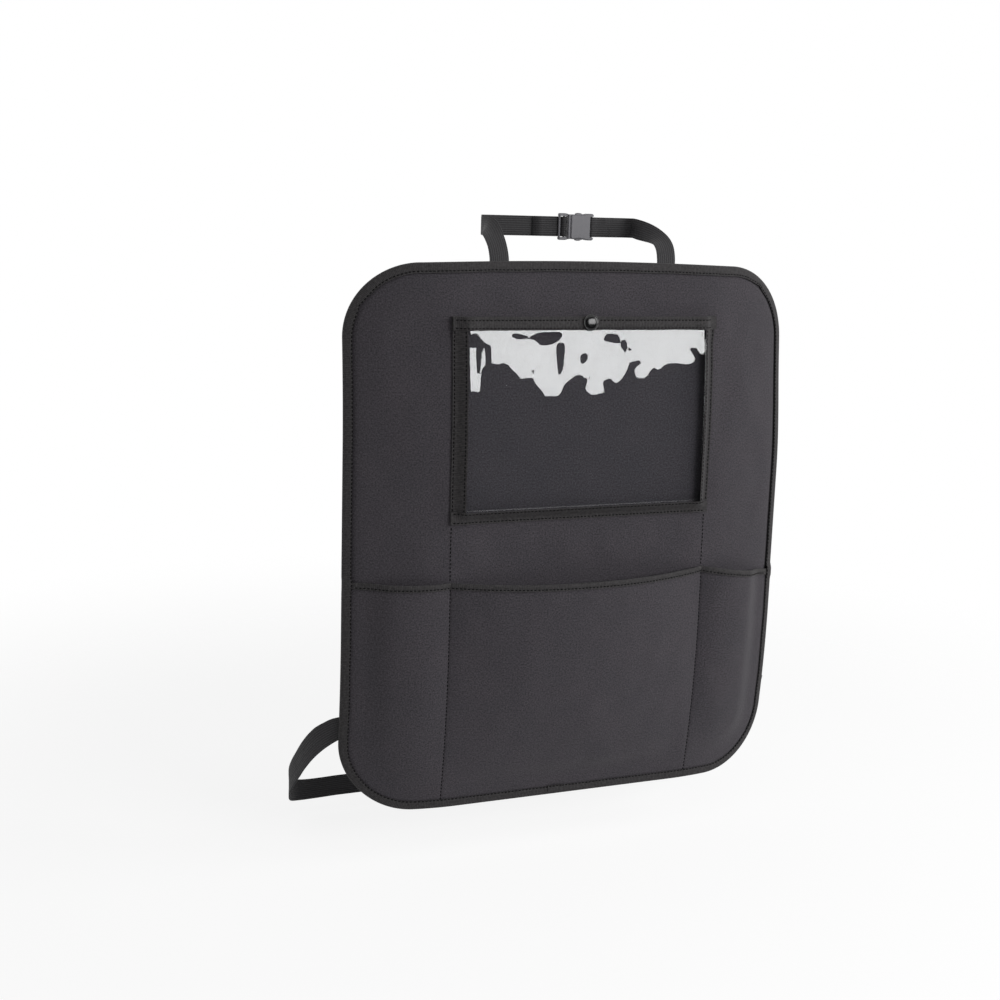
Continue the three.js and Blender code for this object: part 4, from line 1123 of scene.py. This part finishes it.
def at_snap(points):
    """Places points whose own +Y leads out of the panel, with zero on the panel's back face."""
    x, h, across = np.asarray(points, float).T
    cos, sin = math.cos(SNAP_TILT), math.sin(SNAP_TILT)
    base = on_panel(0.0, SNAP_Z, 0.0)
    return np.stack([base[0] + x, base[1] - h * cos - across * sin, base[2] + h * sin - across * cos], -1)


def dress_node(name, material):
    """Gives a CAD node its finish, and rounds its moulded or turned edges."""
    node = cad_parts[name]
    node.data.materials.clear()
    node.data.materials.append(material)
    weld(node, "Joined Corners")
    soften_edges(node, 0.28, 32)


class ORGANIZER_OT_press_stud(bpy.types.Operator):
    """Lacquered press stud: domed cap with a rolled rim, and the post behind the panel"""

    bl_idname = "organizer.press_stud"
    bl_label = "Press Stud"

    def execute(self, context):
        material = stud_lacquer(context.scene.organizer_colours)
        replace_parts(lathe("stud_cap", CAP_PROFILE, at_snap, material, "black_lacquer"), "snap_cap")
        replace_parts(lathe("stud_post", POST_PROFILE, at_snap, material, "black_lacquer"), "snap_back_post")
        for node in ("snap_stud", "snap_socket"):
            dress_node(node, material)
        return {"FINISHED"}


class ORGANIZER_OT_buckles(bpy.types.Operator):
    """Side-release buckles"""

    bl_idname = "organizer.buckles"
    bl_label = "Buckles"

    def execute(self, context):
        material = moulded_acetal(context.scene.organizer_colours)
        for place in ("top", "lower"):
            for half in ("plug", "socket"):
                dress_node(f"{place}_buckle_{half}", material)
        return {"FINISHED"}


# Straps


def leaning(x, y, z, lean=90.0):
    """A station of a strap: its middle, and the direction of its width."""
    return np.array([x, y, z]), np.array([math.cos(math.radians(lean)), 0, math.sin(math.radians(lean))])


def sewn(x, z, lean=90.0):
    """A station of a strap that is sewn flat behind the panel."""
    dx = WEBBING_WIDTH / 2 * math.cos(math.radians(lean))
    dz = WEBBING_WIDTH / 2 * math.sin(math.radians(lean))
    width = on_panel(x + dx, z + dz, SEWN_OFFSET) - on_panel(x - dx, z - dz, SEWN_OFFSET)
    return on_panel(x, z, SEWN_OFFSET), unit(width)


def spline(points, steps):
    """Centripetal Catmull-Rom curve through points, `steps` sections from each to the next."""
    points = np.asarray(points, float)
    padded = np.concatenate([[2 * points[0] - points[1]], points, [2 * points[-1] - points[-2]]])
    made = []
    for p0, p1, p2, p3 in zip(padded, padded[1:], padded[2:], padded[3:]):
        d0, d1, d2 = (max(np.linalg.norm(b - a) ** 0.5, 1e-4) for a, b in ((p0, p1), (p1, p2), (p2, p3)))
        t1 = ((p1 - p0) / d0 - (p2 - p0) / (d0 + d1) + (p2 - p1) / d1) * d1
        t2 = ((p2 - p1) / d1 - (p3 - p1) / (d1 + d2) + (p3 - p2) / d2) * d1
        for t in np.arange(steps) / steps:
            square, cube = 3 * (p2 - p1) - 2 * t1 - t2, 2 * (p1 - p2) + t1 + t2
            made.append(p1 + t * t1 + t * t * square + t**3 * cube)
    return np.array([*made, points[-1]])


def eased(stations, steps):
    """Smooth run of stations through the given ones."""
    widths = [width for _, width in stations]
    made = []
    for k, place in enumerate(spline([at for at, _ in stations], steps)):
        i, share = k // steps, (k % steps) / steps
        made.append((place, unit(widths[i] * (1 - share) + widths[min(i + 1, len(widths) - 1)] * share)))
    return made


def beside_buckle(buckle, outward, size, points):
    x, y, z = buckle
    return [leaning(x + size * u, y + outward * size * w, z) for u, w in points]


def arc(u, start, end):
    """Round a bar at u."""
    angles = np.radians(np.linspace(start, end, 17))
    return [(u + LOOP_RADIUS * math.cos(a), LOOP_RADIUS * math.sin(a)) for a in angles]


def ladder_run():
    return [*TAIL_POINTS, *arc(LADDER_BAR_U, -90, 90), *LOADED_POINTS]


def sewn_loop_run():
    """Round the socket's end bar and sewn back on itself."""
    half = (LAYER_GAP + WEBBING_THICKNESS) / 2
    there = [(FOLDED_END_U + 4, -half), (35, -half), (31.5, -2.2)]
    return [*there, *arc(SOCKET_BAR_U, -90, -270), (31.5, 2.2), (35, half), (FOLDED_END_U, half)]


def top_run(side):
    """From its seam behind the panel up and back, round a bend and to the buckle."""
    x = side * TOP_STRAP_X
    seam = x + (side > 0)
    rise = [sewn(seam, TOP_SEAM_Z - SEWN_LENGTH, 0), sewn(seam, TOP_SEAM_Z - SEWN_MIDDLE, 0)]
    rise.append(sewn(seam + 1, TOP_SEAM_Z, 0))
    for right, before, below, lean in LEFT_RISE if side < 0 else RIGHT_RISE:
        rise.append(leaning(x + right, POST_Y - before, TOP_BAND_Z - below, lean))
    turn = []
    for angle in np.radians(np.linspace(0, 90, 5)):
        out, back = POST_TURN_RADIUS * math.cos(angle), POST_TURN_RADIUS * math.sin(angle)
        turn.append(leaning(side * (POST_X + out), POST_Y + back, TOP_BAND_Z))
    end = ladder_run() if side < 0 else sewn_loop_run()
    return [*eased(rise, 2), *turn, *beside_buckle(TOP_BUCKLE, -1, TOP_SIZE, end)]


def round_seat(side):
    """Elastic from one side edge, back and down to the lower buckle."""
    edge_y = float(back_face(side * WIDTH / 2, LOWER_STRAP_Z))

    def outside(over):
        return side * (WIDTH / 2 + over)

    start, *way = LEFT_WAY if side < 0 else RIGHT_WAY
    stations = [
        sewn(outside(-SEWN_LENGTH), LOWER_STRAP_Z + 3),
        sewn(outside(-SEWN_MIDDLE), LOWER_STRAP_Z),
        sewn(outside(0), LOWER_STRAP_Z - start[2] / 2),
        sewn(outside(start[0]), LOWER_STRAP_Z - start[2]),
    ]
    for over, back, down in way:
        y = edge_y + (LOWER_BAND_Y - edge_y) * back
        stations.append(leaning(outside(over), y, LOWER_STRAP_Z - down))
    stations.append(leaning(outside(-35.3), LOWER_BAND_Y, LOWER_BUCKLE[2]))
    return eased(stations, 2)


def strap_frames(run):
    """Middle, width direction and face normal at each fine section of a strap."""
    stations = eased(run, 3)
    at = np.array([place for place, _ in stations])
    across = np.array([width for _, width in stations])
    ahead = np.concatenate([at[1:], at[-1:]]) - np.concatenate([at[:1], at[:-1]])
    normal = unit(np.cross(across, ahead))
    return at, unit(np.cross(ahead, normal)), normal


def strap_section(size, bands):
    """Places across the webbing, and its half thickness there: rounded selvedges and shallow grooves."""
    t = np.unique(np.concatenate([np.linspace(-0.9, 0.9, 37), SELVEDGE]))
    full = size * WEBBING_THICKNESS / 2
    height = full * (0.25 + 0.75 * np.sqrt(np.maximum(1 - np.abs(t) ** 14, 0)))
    for groove in bands:
        height = height - 0.22 * full * hump(t - groove, 0.045)
    return t * size * WEBBING_WIDTH / 2, height


class ORGANIZER_OT_straps(bpy.types.Operator):
    """Webbing loop on top, and elastic loop behind the lower part"""

    bl_idname = "organizer.straps"
    bl_label = "Straps"

    def execute(self, context):
        self.material = ribbed_webbing(context.scene.organizer_colours)
        self.strap("top", "left", top_run(-1), TOP_SIZE, PLAIN_GROOVES)
        self.strap("top", "right", top_run(1), TOP_SIZE, PLAIN_GROOVES)
        for place, side, end in (("left", -1, ladder_run()), ("right", 1, sewn_loop_run())):
            run = [*round_seat(side), *beside_buckle(LOWER_BUCKLE, 1, 1.0, end)]
            self.strap("lower", place, run, 1.0, BANDED_GROOVES)
        return {"FINISHED"}

    def strap(self, level, place, run, size, bands):
        at, width, normal = strap_frames(run)
        places, height = strap_section(size, bands)
        line = at[:, None] + width[:, None] * places[None, :, None]
        lift = normal[:, None] * height[None, :, None]
        uv = lengthwise_uv(places, path_length(at))
        look = (self.material, "webbing")
        piece = slab(f"strap_{level}_{place}", line + lift, line - lift, uv, *look, edge=0)
        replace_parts(piece, f"{level}_strap_{place}")


# Sewing


class ORGANIZER_OT_stitching(bpy.types.Operator):
    """Rows of thread along the binding, pocket edge, seams, window tapes and strap ends"""

    bl_idname = "organizer.stitching"
    bl_label = "Stitching"

    def execute(self, context):
        self.sizes = context.scene.organizer_sizes
        thread = spun_thread(context.scene.organizer_colours)
        stitches("binding_thread", self.binding(), thread)
        stitches("pocket_thread", self.pockets(), thread)
        stitches("window_thread", self.window(), thread)
        stitches("strap_thread", self.strap_ends(), thread)
        return {"FINISHED"}

    def binding(self):
        """One row on the front leg and one on the back leg."""
        stations, _, outer, _ = binding_shape()
        count = len(LEG_SHARES)
        wanted = 1 - stitch_share(stations)
        for leg, side in ((outer[:, :count], 1), (outer[:, : -count - 1 : -1], -1)):
            path = np.array([sampled(at, 1 - LEG_SHARES, line) for line, at in zip(leg, wanted)])
            path = np.concatenate([path, path[:1]])
            across = leg[:, 6] - leg[:, 3]
            outward = np.cross(np.concatenate([across, across[:1]]), np.roll(path, -1, 0) - path)
            yield stitch_row(path, side * outward, self.sizes)

    def pockets(self):
        """One row along each pocket's edge tape, and the seams on cloth, panel and behind."""
        wave = self.sizes.pocket_wave / MM
        panel_size = self.sizes.cloth_wave / MM
        reach = WIDTH / 2 - BINDING_WIDTH - 1

        def on_pocket(x, z):
            return pocket_front(x, z, wave)

        def on_edge_tape(x, z):
            return edge_tape_front(x, z, wave)

        def on_cloth(x, z):
            return panel_front(x, z, panel_size)

        for low, high in ((-reach, -SEAM_X), (-SEAM_X, SEAM_X), (SEAM_X, reach)):
            x = fine(low + 0.6, high - 0.6, ROW_STEP)
            yield surface_row(x, pocket_top(x) - HEM_WIDTH + 1.7, on_edge_tape, self.sizes)
        for x in (-SEAM_X, SEAM_X):
            foot, top = float(bottom_edge(x, BINDING_WIDTH)), float(pocket_top(x))
            yield surface_row(x, fine(foot, top - 0.5, ROW_STEP), on_pocket, self.sizes)
            yield surface_row(x, fine(top + 1, WINDOW_BOTTOM_Z - 0.5, ROW_STEP), on_cloth, self.sizes)
            behind = fine(foot, WINDOW_BOTTOM_Z, ROW_STEP)
            yield surface_row(x, behind, lambda x, z: 0.0 * x, self.sizes, front=False)

    def window(self):
        def row(x, z, face):
            return surface_row(x, z, lambda x, z: face(x, z) - ROW_SINK, self.sizes)

        z = fine(WINDOW_BOTTOM_Z + WINDOW_TAPE_WIDTH, TOP_TAPE_Z, ROW_STEP)
        for side in (-1, 1):
            for at in SIDE_ROWS:
                yield row(side * at, z, side_tape_face)
        x = fine(-WINDOW_HALF_WIDTH + 2, WINDOW_HALF_WIDTH - 2, ROW_STEP)
        for at in LOW_ROWS:
            yield row(x, at, low_tape_face)
        yield row(x, TOP_TAPE_Z + ROW_INSET, top_tape_face)
        for part in (x[x < -STUD_CLEARANCE], x[x > STUD_CLEARANCE]):
            yield row(part, TOP_TAPE_Z + SECOND_ROW, top_tape_face)

    def strap_ends(self):
        """A crossed box of stitches on each strap's sewn end."""
        box = ((0, -1, 1, -1), (0, 1, 1, 1), (0, -1, 0, 1), (1, -1, 1, 1), (0, -1, 1, 1), (0, 1, 1, -1))
        for way, size, length in ((top_run, TOP_SIZE, 21), (round_seat, 1.0, 19)):
            half = size * WEBBING_WIDTH / 2 - 2.5
            for side in (-1, 1):
                run = way(side)
                for s0, t0, s1, t1 in box:
                    s = 3 + length * np.linspace(s0, s1, 24)
                    yield self.strap_row(run, size, s, half * np.linspace(t0, t1, 24))

    def strap_row(self, run, size, s, t):
        """A row on whichever face of the strap looks away from the panel."""
        at, width, normal = strap_frames(run)
        along = path_length(at)
        up = sampled(s, along, normal)
        if up[:, 1].mean() < 0:
            up = -up
        points = sampled(s, along, at) + sampled(s, along, width) * t[:, None]
        return stitch_row(points + up * size * WEBBING_THICKNESS / 2, up, self.sizes)


# Stage


def lamp(name, place, target, size, power):
    data = bpy.data.lights.new(name, "AREA")
    data.shape = "RECTANGLE"
    data.size, data.size_y = size
    data.energy = power
    lamp_object = bpy.data.objects.new(name, data)
    lamp_object.location = place
    lamp_object.rotation_euler = (Vector(target) - Vector(place)).to_track_quat("-Z", "Y").to_euler()
    bpy.context.scene.collection.objects.link(lamp_object)


class ORGANIZER_OT_stage(bpy.types.Operator):
    """Camera, floor, background and lamps"""

    bl_idname = "organizer.stage"
    bl_label = "Stage"

    def execute(self, context):
        scene = context.scene
        settings = scene.organizer_stage
        scene.view_settings.view_transform = "Standard"
        self.camera(scene)
        self.world(scene, settings)
        self.floor(settings)
        self.curtain()
        lamp("Front Softbox", (0.95, -1.85, 0.67), (0, 0, 0.05), (1.3, 0.76), settings.key)
        lamp("Side Softbox", (2.2, -0.8, 0.9), (0, 0, 0), (1.0, 1.4), settings.side)
        return {"FINISHED"}

    def camera(self, scene):
        data = bpy.data.cameras.new("Camera")
        data.sensor_width = 36
        data.lens = CAMERA_LENS
        camera = bpy.data.objects.new("Camera", data)
        right, forward = Vector(CAMERA_RIGHT).normalized(), Vector(CAMERA_FORWARD).normalized()
        turn = Matrix((right, right.cross(forward), -forward)).transposed()
        camera.matrix_world = Matrix.Translation(CAMERA_PLACE) @ turn.to_4x4()
        scene.collection.objects.link(camera)
        scene.camera = camera

    def world(self, scene, settings):
        """Even daylight, and a white background to look at."""
        world = bpy.data.worlds.new("Studio")
        world.use_nodes = True
        tree = world.node_tree
        tree.nodes.clear()
        path = add(tree, "ShaderNodeLightPath").outputs
        rays = {0: path["Is Glossy Ray"], 1: path["Is Transmission Ray"]}
        mirrored = add(tree, "ShaderNodeMath", rays, operation="MAXIMUM").outputs[0]
        rays = {0: path["Is Camera Ray"], 1: mirrored}
        seen = add(tree, "ShaderNodeMath", rays, operation="MAXIMUM").outputs[0]
        colour = opaque(settings.floor)
        even = add(tree, "ShaderNodeBackground", {"Color": colour, "Strength": settings.daylight}).outputs[0]
        white = add(tree, "ShaderNodeBackground", {"Color": colour, "Strength": 1.0}).outputs[0]
        mix = add(tree, "ShaderNodeMixShader", {0: seen, 1: even, 2: white})
        add(tree, "ShaderNodeOutputWorld", {"Surface": mix.outputs[0]})
        scene.world = world

    def floor(self, settings):
        """A pale floor that keeps the shadow and fades into the white background."""
        place = (0, 0.1, CAD_BOX[0][2] - settings.floor_drop)
        bpy.ops.mesh.primitive_circle_add(vertices=96, radius=FLOOR_RADIUS, fill_type="NGON", location=place)
        floor = bpy.context.object
        floor.name = "Floor"
        material, tree = new_material("Matt White Paper")
        centred = add(tree, "ShaderNodeTexCoord").outputs["Object"]
        away = add(tree, "ShaderNodeVectorMath", {0: centred}, operation="LENGTH").outputs["Value"]
        near, far = FLOOR_FADE
        span = {"Value": away, "From Min": near, "From Max": far}
        fade = add(tree, "ShaderNodeMapRange", span, interpolation_type="SMOOTHSTEP").outputs["Result"]
        colour = opaque(settings.floor)
        paper = add(tree, "ShaderNodeBsdfDiffuse", {"Color": colour}).outputs[0]
        glow = add(tree, "ShaderNodeEmission", {"Color": colour, "Strength": FLOOR_GLOW}).outputs[0]
        path = add(tree, "ShaderNodeLightPath").outputs
        factors = {0: path["Is Camera Ray"], 1: GLOW_SHARE}
        share = add(tree, "ShaderNodeMath", factors, operation="MULTIPLY").outputs[0]
        clear = add(tree, "ShaderNodeBsdfTransparent").outputs[0]
        lit = add(tree, "ShaderNodeMixShader", {0: share, 1: paper, 2: glow}).outputs[0]
        surface = add(tree, "ShaderNodeMixShader", {0: fade, 1: lit, 2: clear})
        add(tree, "ShaderNodeOutputMaterial", {"Surface": surface.outputs[0]})
        floor.data.materials.append(material)

    def curtain(self):
        """Dark studio side behind the lamps, which shows in glossy surfaces only."""
        bpy.ops.mesh.primitive_plane_add(size=1, location=(0.4, -2.4, -0.2), rotation=(math.pi / 2, 0, 0))
        curtain = bpy.context.object
        curtain.name = "Dark Curtain"
        curtain.scale = (6, 4.8, 1)
        material, tree = new_material("Dark Curtain Cloth")
        path = add(tree, "ShaderNodeLightPath").outputs
        clear = add(tree, "ShaderNodeBsdfTransparent").outputs[0]
        dark = add(tree, "ShaderNodeBsdfDiffuse", {"Color": opaque(linear("#3a3a3d"))}).outputs[0]
        surface = add(tree, "ShaderNodeMixShader", {0: path["Is Glossy Ray"], 1: clear, 2: dark})
        add(tree, "ShaderNodeOutputMaterial", {"Surface": surface.outputs[0]})
        curtain.data.materials.append(material)


class ORGANIZER_PT_parts(bpy.types.Panel):
    """Lists the organizer's pieces and settings"""

    bl_label = "Organizer"
    bl_idname = "ORGANIZER_PT_parts"
    bl_space_type = "VIEW_3D"
    bl_region_type = "UI"
    bl_category = "Organizer"

    def draw(self, context):
        for group in (getattr(context.scene, name) for name in GROUPS):
            box = self.layout.box()
            for name in group.bl_rna.properties.keys():
                if name not in ("rna_type", "name"):
                    box.prop(group, name)
        for operator in OPERATORS:
            self.layout.operator(operator.bl_idname)


OPERATORS = (
    ORGANIZER_OT_stage,
    ORGANIZER_OT_panel,
    ORGANIZER_OT_binding,
    ORGANIZER_OT_lower_pockets,
    ORGANIZER_OT_window_pocket,
    ORGANIZER_OT_press_stud,
    ORGANIZER_OT_straps,
    ORGANIZER_OT_buckles,
    ORGANIZER_OT_stitching,
)
GROUPS = {
    "organizer_sizes": OrganizerSizes,
    "organizer_colours": OrganizerColours,
    "organizer_stage": OrganizerStage,
}


def register():
    for name, group in GROUPS.items():
        bpy.utils.register_class(group)
        setattr(bpy.types.Scene, name, PointerProperty(type=group))
    for cls in (*OPERATORS, ORGANIZER_PT_parts):
        bpy.utils.register_class(cls)


def unregister():
    for cls in (ORGANIZER_PT_parts, *reversed(OPERATORS)):
        bpy.utils.unregister_class(cls)
    for name, group in GROUPS.items():
        delattr(bpy.types.Scene, name)
        bpy.utils.unregister_class(group)


def main():
    register()
    for operator in OPERATORS:
        group, name = operator.bl_idname.split(".")
        getattr(getattr(bpy.ops, group), name)()


if __name__ == "__main__":
    main()
